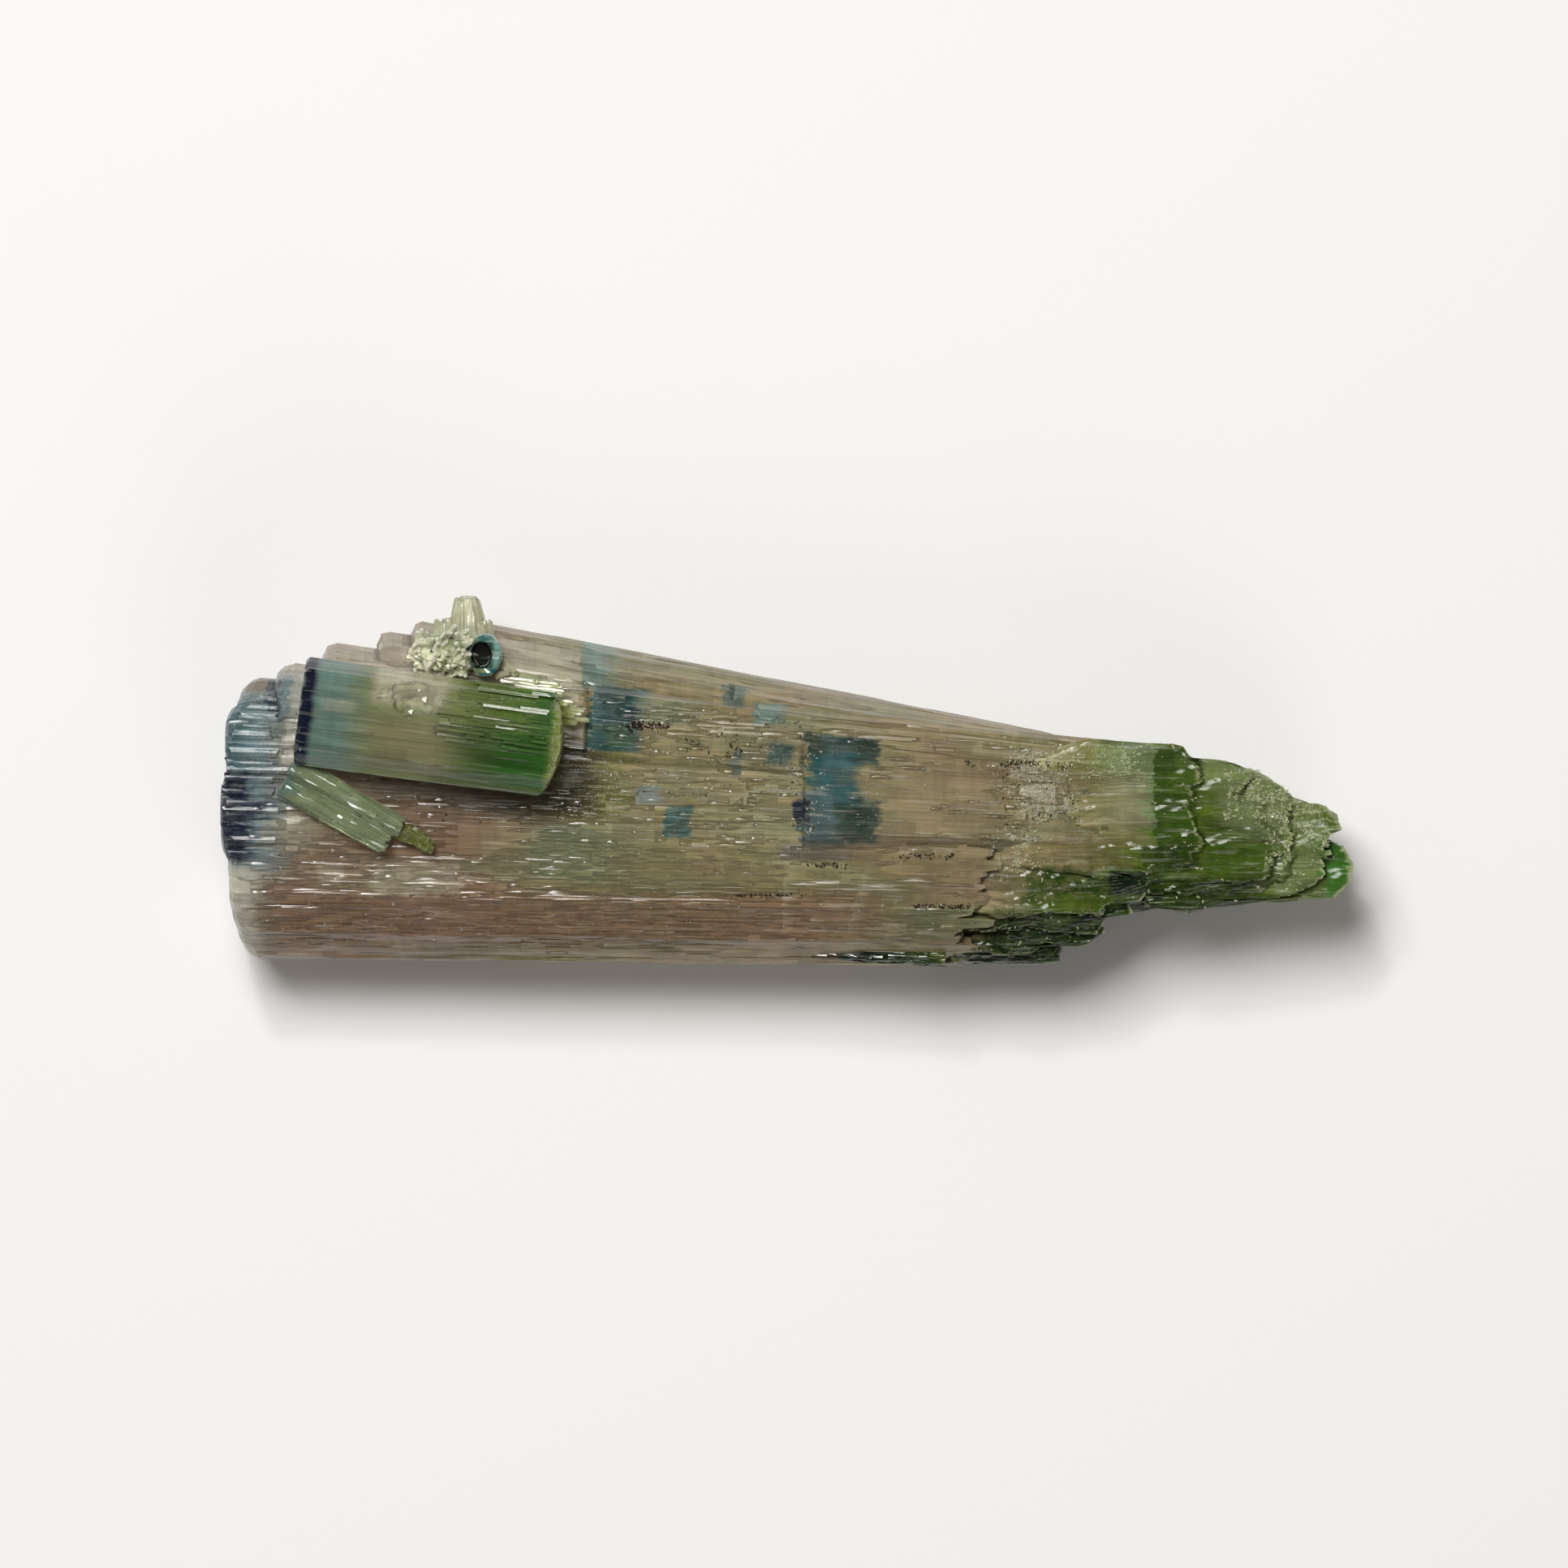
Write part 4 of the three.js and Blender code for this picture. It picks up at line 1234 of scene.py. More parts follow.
@dataclass(frozen=True)
class LayeredEnd:
    """Etched layers that lie on one another, as one solid with a stepped and lobed upper side."""

    name: str
    layers: tuple[Layer, ...]
    pitch: tuple[float, float] = (0.14, 0.09)
    lobes: tuple[Spot, ...] = ((0.3, 0.8, 0.5), (0.7, 2.0, 0.35), (1.6, 5.0, 0.14))
    ridges: tuple[Spot, ...] = ((0.1, 1.5, 0.022), (0.2, 4.5, 0.012), (0.4, 9.0, 0.006))
    terraces: Spot = (0.2, 0.7, 0.06)
    terrace_steps: float = 5.0
    rounding: float = 0.3
    plain_edge: float = 0.9
    buried: tuple[float, float] = (14.5, 0.35)
    rising: float = 0.0
    warps: tuple[tuple[float, float], ...] = ((0.5, 0.3), (1.7, 0.12))
    wall_levels: tuple[float, ...] = (0.1, 0.25, 0.4, 0.55, 0.7, 0.85)
    wall_cut: tuple[float, float] = (0.0, 0.8)
    relief: Relief = Relief(spacing=0.2, depth=0.012, breaks=4.5, calm_top=0, end_cell=1, ragged=0)

    @staticmethod
    def swell(x: float, y: float, seed: float, parts: tuple[Spot, ...]) -> float:
        """A sum of noises, each with how often it changes along and across, and its height."""
        return sum(noise.noise(Vector((x * along, y * across, seed))) * rise for along, across, rise in parts)

    def height(self, lowest: Layer, x: float, y: float) -> float:
        """The height of the upper side at one place.

        Args:
            lowest: The lowest layer that reaches its row.
            x: The place along the crystal.
            y: The place across it.

        Returns:
            The height of the highest layer there.
        """
        heights = []
        along, across, rise = self.terraces
        insides = [layer.inside(x, y) for layer in self.layers]
        lobed = min(1.0, max(0.0, max(insides) / self.plain_edge))
        for layer, plain in zip(self.layers, insides):
            inside = plain + self.swell(x, y, layer.top * 3, self.lobes) * lobed
            if inside > -0.03 or layer is lowest:
                terrace = noise.noise(Vector((x * along, y * across, layer.top * 5))) * self.terrace_steps
                edge = min(1.0, max(0.0, 1 - inside / self.rounding))
                low = edge**2 * self.rounding * 0.8
                heights.append(layer.top - low + self.swell(x, y, layer.top * 7, self.ridges) + round(terrace) * rise)
        start, fall = self.buried
        return max(heights) - max(0.0, start - x) * fall + (max(0.0, 22.0 - x) - max(0.0, start - x)) * self.rising

    def skeleton(self) -> bpy.types.Object:
        """Make the stepped solid, with the attributes that the growth tree reads.

        Returns:
            The object.
        """
        ys = [y for layer in self.layers for _, y in layer.corners]
        count = round((max(ys) - min(ys)) / self.pitch[1])
        rows = [lerp(min(ys) + 0.01, max(ys) - 0.01, row / count) for row in range(count + 1)]
        tops, bottoms, stations = [], [], 0
        for y in rows:
            spans = [(layer, *edges) for layer in self.layers if (edges := layer.crossings(y)) is not None]
            lowest = min(spans, key=lambda span: span[0].top)[0]
            left = min(span[1] for span in spans)
            right = max(span[2] for span in spans)
            stations = stations or round((max(x for layer in self.layers for x, _ in layer.corners) - left) / self.pitch[0])
            for station in range(stations + 1):
                x = lerp(left, right, station / stations)
                tops.append(Vector((x, y, self.height(lowest, x, y))))
                bottom = min([lowest.bottom, *(layer.bottom for layer, start, stop in spans if start <= x <= stop)])
                bottoms.append(Vector((x, y, bottom)))
        across = stations + 1
        ring = list(range(across)) + [row * across + stations for row in range(1, count + 1)]
        ring += [count * across + spot for spot in range(stations - 1, -1, -1)]
        ring += [row * across for row in range(count - 1, 0, -1)]
        middle = Vector((sum(top.x for top in tops) / len(tops), sum(top.y for top in tops) / len(tops), 0))
        places, levels = tops + bottoms, [ring]
        for level in self.wall_levels:
            levels.append(list(range(len(places), len(places) + len(ring))))
            for spot in ring:
                place = tops[spot].lerp(bottoms[spot], level)
                inward = (middle - place) * Vector((1, 1, 0))
                cut = lerp(*self.wall_cut, 0.5 + noise.noise(Vector((place.x * 1.6, place.y * 1.6, place.z * 2.2))))
                places.append(place + inward.normalized() * cut)
        levels.append([spot + len(tops) for spot in ring])
        quads = [(row * across + spot, row * across + spot + 1) for row in range(count) for spot in range(stations)]
        faces = [(low, high, high + across, low + across) for low, high in quads]
        faces += [tuple(spot + len(tops) for spot in reversed(face)) for face in faces]
        for upper, lower in zip(levels, levels[1:]):
            for spot in range(len(ring)):
                after = (spot + 1) % len(ring)
                faces.append((upper[after], upper[spot], lower[spot], lower[after]))
        mesh = bpy.data.meshes.new(self.name)
        mesh.from_pydata([self.warped(place) * MM for place in places], [], faces)
        with_grain(mesh)
        mesh.attributes.new("ends", "FLOAT", "POINT").data.foreach_set("value", [0.0] * len(places))
        return new_piece(self.name, mesh)

    def warped(self, place: Vector) -> Vector:
        """A place, moved sideways so that straight edges wave."""
        for often, share in self.warps:
            sway = noise.noise_vector(Vector((place.x * often, place.y * often, place.z)))
            place = place + Vector((sway.x, sway.y * 0.6, 0)) * share
        return place

    def grow(self, tree: bpy.types.NodeTree, material: bpy.types.Material, seed: int) -> bpy.types.Object:
        """Make the layers, with fine ribs along them."""
        piece = grown(self.skeleton(), tree, self.relief.values(seed, material))
        with_grain(piece.data)
        return piece


TIP_CORE = Column(
    "tip core", 6, 32.4,
    ((-3.4, 0.9), (-7.6, 2.6), (-9.4, 5.6), (-8.2, 8.6), (-4.4, 10.2), (0.6, 10.3), (3.4, 8.4), (4.2, 5.6),
     (1.2, 2)),
    (0.44, 0.36), (-3.1, 4.7), 0.8, relief=Relief(spacing=0.35, depth=0.2, breaks=2.5, calm_top=0, end_cell=1.4, ragged=0.6),
)

TIP_LAYERS = (
    Layer(8.9, 11.1, (
        (12, 0.8), (16, 1.8), (18.5, 2.6), (20.7, 2.4), (24.3, 2.2), (24.85, 1.4), (25.3, 0.5), (25.05, -1.1), (25.4, -3.1),
        (24.9, -5.2), (22.1, -5.4), (19, -5.9), (12, -5.2))),
    Layer(8.3, 10.65, (
        (18, 1.9), (24.8, 1.4), (27.5, 1.1), (28.4, 0.2), (27.7, -0.9), (28.9, -1.3), (29.6, -3), (30.3, -4.3),
        (29.5, -5.7), (28, -6.3), (22.2, -6.2), (18, -5))),
    Layer(7.6, 10.2, (
        (22, 1.2), (28, 1.05), (29.6, 0.3), (30.9, -0.8), (31, -3.2), (31.4, -4.6), (30.6, -5.9), (29, -6.8),
        (26, -7.1), (22, -6.8))),
    Layer(6.7, 9.7, (
        (24, 0.9), (29.4, 0.2), (31.7, -1.3), (33.2, -1.55), (33.95, -2.4), (34.1, -3), (33.4, -3.35),
        (33.1, -4.8), (32.6, -6.2), (31.2, -7.1), (28.8, -7.3), (26.5, -7.65), (24.5, -8.2), (22, -7.8), (21, -6))),
    Layer(6.2, 9.0, (
        (30, -3), (33.3, -3.45), (34.4, -4.1), (34.8, -5.1), (34.5, -6.2), (33.7, -7.25), (31.2, -7.2), (30, -6.5))),
    Layer(5.4, 8.0, (
        (20, 1.4), (26.2, 0.7), (29, -0.4), (31.4, -1.9), (32.9, -3.3), (33.7, -4.8), (33, -6.4), (30.4, -6.9),
        (27.1, -7.2), (24.7, -7.7), (21.6, -7.2))),
    Layer(4.3, 6.6, (
        (18, 0.6), (22.9, 0.1), (26.6, -1), (29.9, -2.4), (31.2, -4.1), (30.1, -5.8), (26.8, -6.6), (18, -7.4))),
)

FLAKE_LAYERS = (
    Layer(8.6, 10.4, (
        (10, -3.2), (21.6, -4), (21.95, -5.3), (22.3, -6.3), (21.6, -7.4), (20.2, -7.6), (19.4, -8.4),
        (16.5, -8.2), (10, -8.2))),
    Layer(7.3, 9.6, ((10, -6), (20.4, -6.8), (21.3, -8.2), (19.6, -8.5), (19, -9.4), (15.6, -9.2), (10, -9.4))),
    Layer(5.9, 8.6, ((9, -7), (19.2, -8.2), (19.5, -9.4), (18.3, -10.2), (15.8, -10.2), (14.8, -10.7), (9, -10.4))),
    Layer(3.9, 7.5, ((8, -8), (16.2, -9.4), (17, -10.5), (16.5, -10.95), (15.1, -11.25), (12.4, -11.2), (8, -11.3))),
    Layer(3.2, 7.4, ((8, -4), (19.6, -5), (20.4, -6.6), (18.2, -8.3), (17.6, -9.5), (15, -9.9), (8, -9.9))),
    Layer(1.6, 5.2, ((4, -2), (15.8, -4.2), (16.6, -6.3), (15.4, -7.4), (15.9, -8.8), (13.8, -9.7), (4, -9.4))),
)

RIDGE_RELIEF = Relief(spacing=0.22, depth=0.035, breaks=2.5, calm_top=0, end_cell=0.3, ragged=0.3)


def left_ridge(y: float, z: float, start: float, radius: float, tilt: float) -> Rod:
    """One of the bright ridges at the left end, along X."""
    stop = -30.7 - 0.8 * math.sin(7 * y)
    return Rod(
        f"ridge at {y}", (start, y, z), (stop, y - 0.1, z - 0.05), (radius, radius * 0.9), 0.85, 8, RIDGE_RELIEF, 0.09,
        math.radians(-tilt),
    )


LEFT_RIDGES = (
    left_ridge(5.0, 10.8, -32.7, 0.38, 18), left_ridge(4.5, 11.15, -33.3, 0.26, 12), left_ridge(3.95, 11.55, -33.8, 0.42, 9),
    left_ridge(3.4, 11.7, -34.1, 0.22, 4), left_ridge(2.9, 11.85, -34.3, 0.38, 12), left_ridge(2.35, 11.9, -34.4, 0.24, -2),
    left_ridge(1.85, 11.9, -34.5, 0.42, 11), left_ridge(1.2, 11.75, -34.6, 0.26, 3), left_ridge(0.75, 11.65, -34.6, 0.3, 13),
    left_ridge(0.2, 11.4, -34.65, 0.34, -2), left_ridge(-0.6, 11.38, -34.8, 0.38, -4), left_ridge(-1.7, 11.42, -34.75, 0.3, 9),
    left_ridge(-2.6, 11.32, -34.8, 0.4, -3), left_ridge(-3.5, 11.36, -34.7, 0.28, 6), left_ridge(-4.4, 10.85, -34.5, 0.36, -6),
)


@dataclass(frozen=True)
class StepPatch:
    """A place, as a box seen from above, where low growth steps stand out of the surface."""

    left: float
    right: float
    front: float
    back: float
    count: int
    length: tuple[float, float] = (0.6, 6.0)
    width: tuple[float, float] = (0.08, 0.3)
    rise: tuple[float, float] = (0.01, 0.05)
    lit: float = 0.25


STEP_PATCHES = (
    StepPatch(-33.5, -14, -10.7, -4.6, 420, (0.6, 6.0), (0.05, 0.16), (0.01, 0.05), 0.5),
    StepPatch(-33, -21, -4.6, -1.0, 90, (0.6, 4.0), (0.05, 0.16), (0.01, 0.04), 0.45),
    StepPatch(-15, 13, -11, -6.2, 320, (1.0, 9.0), (0.05, 0.16), (0.01, 0.04), 0.35),
    StepPatch(-17, 1, -6.2, -0.5, 240, (0.5, 4.0), (0.05, 0.13), (0.01, 0.03), 0.4),
    StepPatch(-12, 1, -0.5, 5.5, 150, (0.4, 3.0), (0.05, 0.13), (0.01, 0.03), 0.35),
    StepPatch(1, 14, -6.2, 3.5, 90, (1.0, 7.0), (0.05, 0.15), (0.005, 0.02), 0.25),
    StepPatch(-20, 12, 2.5, 9.8, 200, (1.5, 10.0), (0.06, 0.2), (0.01, 0.04), 0.35),
    StepPatch(12, 24, -6.0, 2.6, 90, (0.8, 4.0), (0.05, 0.15), (0.01, 0.04), 0.4),
)


@dataclass(frozen=True)
class GrowthSteps:
    """Low growth steps: thin blades that lie along the grain on the surface of the columns."""

    patches: tuple[StepPatch, ...] = STEP_PATCHES
    depth: float = 0.5
    sunk_ends: float = 0.14
    slack: float = 0.08
    main_drift: tuple[float, float] = (2.25 / 48, 0.16 / 48)
    back_drift: tuple[float, float] = (3.4 / 38.6, 0.4 / 38.6)
    back_line: tuple[float, float] = (4.3, 0.14)
    lit_roll: tuple[float, float] = (0.08, 0.26)
    plain_roll: float = 0.1

    def yaw(self, x: float, y: float) -> float:
        """The grain's direction seen from above."""
        behind = y > self.back_line[0] - self.back_line[1] * x and x > -21
        base, gain = self.back_drift if behind else self.main_drift
        return -math.atan(base + gain * y)

    def lay(self, carrier: bpy.types.Object, draw: random.Random) -> list[Blade]:
        """Lay the steps on a carrier.

        Args:
            carrier: The united columns.
            draw: The seeded random numbers.

        Returns:
            The blades.
        """
        tree = BVHTree.FromObject(carrier, bpy.context.evaluated_depsgraph_get())
        blades = []
        for patch in self.patches:
            for _ in range(patch.count):
                x, y = draw.uniform(patch.left, patch.right), draw.uniform(patch.front, patch.back)
                length = lerp(*patch.length, draw.random() ** 2)
                width, rise = draw.uniform(*patch.width), draw.uniform(*patch.rise)
                lit = draw.random() < patch.lit
                roll = -draw.uniform(*self.lit_roll) if lit else draw.uniform(-1, 1) * self.plain_roll
                blade = self.blade(tree, x, y, length, width, rise, roll, lit)
                if blade is not None:
                    blades.append(blade)
        return blades

    def blade(self, tree: BVHTree, x: float, y: float, length: float, width: float, rise: float, roll: float, lit: bool) -> Blade | None:
        """Make one step, or none where the surface isn't straight enough for it."""
        yaw = self.yaw(x, y)
        hits = []
        for share in (-0.5, 0.0, 0.5):
            place = Vector((x + share * length * math.cos(yaw), y + share * length * math.sin(yaw), 50)) * MM
            hits.append(tree.ray_cast(place, Vector((0, 0, -1))))
        if any(hit[0] is None for hit in hits):
            return None
        heights = [hit[0].z / MM for hit in hits]
        if max(heights) - min(heights) > self.slack * 2 or hits[1][1].z < 0.5:
            return None
        normal = hits[1][1]
        middle = hits[1][0] / MM + normal * (rise - self.depth / 2)
        lean = 0.0 if lit else -math.atan2(normal.y, normal.z)
        return Blade(tuple(middle), (length, width, self.depth), (lean + roll, 0.0, yaw))


BODY_STOPS = (
    (-35.0, Hue.GREY), (-30.0, Hue.ROSE), (-21.0, Hue.ROSE), (-14.0, Hue.OLIVE), (8.0, Hue.OLIVE),
    (16.0, Hue.PALE_OLIVE), (22.5, Hue.LEAF), (34.0, Hue.LEAF),
)

BODY_ZONES = (
    # Left end
    Zone(Hue.BLUE_GREY, -36, -31.2, -5.6, 5.4, 0.85, (0.5, 1.6, 0.4)),
    Zone(Hue.TEAL, -36, -33.2, 0.6, 5.2, 0.6, (0.5, 1.0, 0.3)),
    Zone(Hue.NAVY, -36, -32.6, -5.0, 0.6, 1.0, (0.5, 0.7, 0.3), ragged=0.8),
    Zone(Hue.BLUE_GREY, -32, -29.5, 3.8, 7.2, 0.9, (0.2, 0.4, 0.3)),
    Zone(Hue.NAVY, -32, -31.15, 4.2, 7.0, 0.8, (0.1, 0.2, 0.1)),
    Zone(Hue.PALE_GREY, -35, -32.4, -11, -5.2, 0.95, (0.3, 1.2, 0.5)),
    Zone(Hue.PALE_GREY, -31.2, -30.0, 0.9, 6.9, 0.8, (0.2, 0.3, 0.3), lean=0.16),
    Zone(Hue.SCALLOP, -31.5, -20.0, 6.5, 11.0, 0.9, (0.5, 1.0, 0.5)),
    # Front slope
    Zone(Hue.RED_BROWN, -32.5, 6, -10.3, -6.7, 0.9, (1.5, 5.0, 0.8)),
    # painted sheen: whitish patches where the front slope catches the light
    Zone(Hue.SHEEN, -25.5, -20, -7.0, -5.0, 0.45, (0.5, 0.3, 0.2), ragged=0.8),
    Zone(Hue.SHEEN, -28.9, -27.4, -6.5, -5.0, 0.4, (0.3, 0.2, 0.2)),
    Zone(Hue.SHEEN, -32.0, -27.5, -4.2, -2.2, 0.4, (0.5, 1.5, 0.4), ragged=0.8),
    # painted shadow tint: reddish brown on the top where the perched crystal and the splinters shade it; the geometry
    # casts part of this shadow too
    Zone(Hue.RED_BROWN, -29, -17, -4.6, -0.9, 0.6, (1.0, 3.0, 0.8)),
    # Middle
    Zone(Hue.GREEN_GREY, -15.6, -10.4, -6.0, -2.6, 0.75, (0.8, 2.5, 0.4), ragged=0.8),
    Zone(Hue.PALE_GREEN, -10, 1, -5.9, -2.4, 0.18, (3.0, 2.0, 0.5)),
    Zone(Hue.PALE_GREEN, -13, 1, -7.1, -5.8, 0.3, (3.0, 2.0, 0.4)),
    Zone(Hue.GREEN_GREY, -5.9, 1, -3.4, -1.6, 0.3, (0.8, 1.5, 0.4)),
    Zone(Hue.YELLOW_GREEN, -14, -9.8, -2.2, 1.8, 0.7, (1.5, 0.4, 0.3), ragged=0.9),
    # painted shadow cast by the perched crystal: dark brown below its lower edge and beyond its right end
    Zone(Hue.DARK_BROWN, -20, -11.6, -2.2, 2.6, 1.0, (3.0, 1.2, 0.8)),
    Zone(Hue.DARK_BROWN, -27.5, -14, -0.9, 3.0, 0.7, (3.0, 1.5, 0.8), slope=-0.136),
    Zone(Hue.ROSE, 6, 13, -4.3, 1.2, 0.35, (2.0, 2.0, 1.0)),
    Zone(Hue.ROSE, 8, 13.5, -8.0, -4.6, 0.5, (1.5, 1.0, 1.0)),
    Zone(Hue.PALE_GREEN, 6.8, 14, -9.6, -7.7, 0.7, (1.5, 1.0, 0.3)),
    Zone(Hue.SHEEN, -0.42, -0.1, -9.2, -4.8, 0.3, (0.04, 0.6, 0.5), lean=0.09, ragged=0.2),
    Zone(Hue.SHEEN, 3.65, 4.0, -9.2, -4.8, 0.3, (0.04, 0.7, 0.5), lean=0.3, ragged=0.25),
    Zone(Hue.SHEEN, 0.0, 22.0, 4.85, 4.95, 0.45, (1.5, 1.0, 0.04), slope=-0.14, ragged=0.1),
    Zone(Hue.SHEEN, -0.5, 16.5, 3.75, 3.85, 0.35, (1.0, 1.0, 0.04), slope=-0.1, ragged=0.1),
    # Back strip
    Zone(Hue.PALE_GREY, -21, -12.65, 5.2, 9.5, 0.5, (1.0, 0.08, 0.5), slope=-0.19),
    Zone(Hue.PALE_OLIVE, -12.6, -3.9, 5.4, 7.6, 0.6, (0.1, 0.2, 0.5), slope=-0.2),
    # Blue left ends of the columns
    Zone(Hue.PALE_TEAL, -12.65, -10.6, 5.8, 9.0, 0.9, (0.06, 1.2, 0.2), slope=-0.15, ragged=0.1),
    Zone(Hue.TEAL, -12.45, -9.1, 1.9, 5.85, 0.95, (0.08, 0.5, 0.15), lean=0.16, slope=-0.06),
    Zone(Hue.DEEP_TEAL, -11.4, -9.1, 3.6, 5.7, 0.75, (0.3, 0.3, 0.2), slope=-0.06),
    Zone(Hue.LEAF, -11.2, -9.3, 2.0, 3.5, 0.45, (0.3, 0.3, 0.2)),
    Zone(Hue.GREEN_GREY, -9.3, -5.8, 3.5, 5.2, 0.75, (0.3, 1.6, 0.2), slope=-0.06),
    Zone(Hue.NAVY, -9.9, -9.15, 3.5, 4.5, 0.7, (0.2, 0.1, 0.1), ragged=0.6),
    Zone(Hue.TEAL, -3.95, -2.65, 4.6, 6.0, 0.75, (0.1, 0.2, 0.1), slope=-0.15),
    Zone(Hue.PALE_TEAL, -2.1, -0.1, 3.45, 4.75, 0.85, (0.1, 0.4, 0.1)),
    Zone(Hue.PALE_GREEN, -0.4, 2.6, 3.3, 4.4, 0.6, (0.4, 1.2, 0.15)),
    Zone(Hue.TEAL, -1.2, 0.15, 1.0, 2.3, 0.8, (0.3, 0.25, 0.25)),
    Zone(Hue.CLOUDY_BLUE, -3.55, -2.8, 0.2, 1.9, 0.6, (0.1, 0.2, 0.15)),
    Zone(Hue.DEEP_TEAL, 0.95, 5.7, 1.25, 3.0, 0.95, (0.15, 0.2, 0.2), slope=-0.09, ragged=0.4),
    Zone(Hue.TEAL, 1.25, 4.4, -1.6, 1.7, 0.95, (0.2, 0.6, 0.3), ragged=0.6),
    Zone(Hue.DEEP_TEAL, 0.7, 5.65, -3.9, -1.2, 0.95, (0.2, 0.35, 0.25), ragged=0.5),
    Zone(Hue.CLOUDY_BLUE, 0.8, 3.0, -3.8, -0.6, 0.75, (0.2, 0.4, 0.3), ragged=0.6),
    Zone(Hue.DARK_GREEN, 3.4, 5.2, -3.6, -1.7, 0.55, (0.5, 0.3, 0.3)),
    Zone(Hue.NAVY, 0.5, 1.4, -2.6, -1.1, 0.95, (0.1, 0.15, 0.15)),
    Zone(Hue.CLOUDY_BLUE, 2.2, 3.8, 0.2, 2.6, 0.5, (0.4, 0.5, 0.4), ragged=0.8),
    Zone(Hue.VIOLET_GREY, -0.6, 4.0, -4.9, -3.9, 0.7, (0.1, 1.5, 0.15)),
    Zone(Hue.TEAL, -7.5, -5.8, -3.5, -1.55, 0.85, (0.08, 0.2, 0.1)),
    Zone(Hue.BLUE_GREY, -9.25, -7.8, -1.4, -0.35, 0.6, (0.1, 0.3, 0.1)),
)

BODY_FROST = (
    Zone(Hue.WHITE, 14.0, 17.6, -2.4, 1.9, 0.65, (1.2, 1.2, 0.8), ragged=1.8),
    Zone(Hue.WHITE, 13.3, 15.2, -5.2, -3.2, 0.6, (0.8, 0.9, 0.7), ragged=1.5),
    Zone(Hue.WHITE, 17.5, 22.0, 0.1, 2.2, 0.5, (1.2, 0.9, 0.6), ragged=1.8),
    Zone(Hue.WHITE, -14, -9.6, -2.3, 1.9, 0.2, (1.0, 0.5, 0.4), ragged=1.2),
    Zone(Hue.WHITE, -33, -29.5, 0.5, 6.9, 0.3, (0.6, 0.5, 0.4)),
)

# where the painted shade of etch pits goes
BODY_PITS = (
    Zone(Hue.NEAR_BLACK, -10.2, -6.8, 3.0, 3.7, 0.8, (0.5, 0.5, 0.15)),
    Zone(Hue.NEAR_BLACK, 6.4, 10.3, -4.9, -4.4, 0.8, (0.4, 0.6, 0.12)),
    Zone(Hue.NEAR_BLACK, -3.2, 0.0, -7.15, -6.85, 0.9, (0.6, 0.4, 0.1)),
    Zone(Hue.NEAR_BLACK, 7.5, 11.8, -7.85, -7.5, 0.9, (0.6, 0.5, 0.1)),
    Zone(Hue.NEAR_BLACK, 12.5, 16.5, -3.4, 0.4, 0.5, (0.8, 0.8, 0.5)),
)

GREEN_ZONES = (
    Zone(Hue.LEAF, 14.5, 22.5, -3.4, 3.0, 0.35, (2.5, 0.5, 1.0), ragged=1.6),
    Zone(Hue.GREEN_GREY, 19.5, 22.6, -2.8, 2.6, 0.7, (1.2, 0.06, 0.6), ragged=0.3),
    Zone(Hue.ROSE, 14.0, 22.0, -3.8, 0.4, 0.4, (1.2, 0.3, 0.6), ragged=0.8),
    Zone(Hue.DARK_BROWN, 13.0, 20.5, -5.8, -3.6, 0.45, (1.5, 1.0, 0.6), ragged=1.2),
    Zone(Hue.GREEN, 22.6, 25.2, -5.5, 2.0, 0.85, (0.1, 0.3, 0.3), ragged=0.25),
    Zone(Hue.DARK_GREEN, 21.8, 25.2, -5.5, -4.0, 0.6, (0.1, 0.4, 0.2)),
    Zone(Hue.DARK_BROWN, 7.0, 12.5, -10.6, -8.8, 0.55, (1.0, 1.0, 0.5)),
    Zone(Hue.PALE_GREEN, 7.0, 13.0, -9.0, -7.6, 0.6, (1.0, 1.0, 0.3)),
    Zone(Hue.GREEN, 12.2, 23, -12, -5.4, 1.0, (1.4, 0.5, 0.5), ragged=1.4),
    Zone(Hue.DARK_GREEN, 10.2, 20, -12, -8.4, 0.95, (1.6, 1.0, 0.6), ragged=1.2),
    Zone(Hue.LEAF, 14.5, 20.0, -8.4, -7.4, 0.6, (1.0, 0.6, 0.3), slope=0.1, ragged=1.0),
    Zone(Hue.BLACK_GREEN, 19.7, 22.0, -7.0, -5.6, 1.0, (0.15, 0.15, 0.15)),
    Zone(Hue.BLACK_GREEN, 17.2, 21.8, -9.15, -8.75, 0.95, (0.5, 0.2, 0.12), slope=0.33, ragged=0.5),
    Zone(Hue.BLACK_GREEN, 15.0, 18.5, -9.6, -9.35, 0.8, (0.5, 0.4, 0.12), slope=0.1, ragged=0.5),
    Zone(Hue.GREEN, 25.5, 30.2, -6.4, -2.2, 0.7, (0.6, 0.6, 0.6)),
    Zone(Hue.PALE_GREEN, 27.4, 33.6, -3.4, 1.4, 0.75, (0.8, 0.5, 0.6), lean=-0.55, ragged=0.8),
    Zone(Hue.PALE_GREEN, 29.8, 33.0, -7.4, -4.0, 0.6, (0.6, 0.4, 0.6), ragged=0.8),
    Zone(Hue.VIVID_GREEN, 33.0, 36.0, -7.4, -3.3, 0.95, (0.4, 0.5, 0.3)),
    Zone(Hue.DARK_GREEN, 21.5, 29, -8.5, -6.0, 0.9, (1.0, 1.0, 0.4)),
    Zone(Hue.ROSE, 8, 14.5, -8, -4, 0.5, (1.0, 1.0, 0.8)),
    Zone(Hue.GREEN, 2.0, 9.9, -12, -10.0, 0.85, (1.2, 0.4, 0.3)),
)

GREEN_FROST = (
    *BODY_FROST[:3],
    Zone(Hue.WHITE, 27.3, 30.6, -2.0, 1.0, 0.6, (0.8, 0.8, 0.6), ragged=1.4),
    Zone(Hue.WHITE, 29.3, 33.2, -4.2, -1.2, 0.6, (0.6, 0.4, 0.4), ragged=1.0),
)

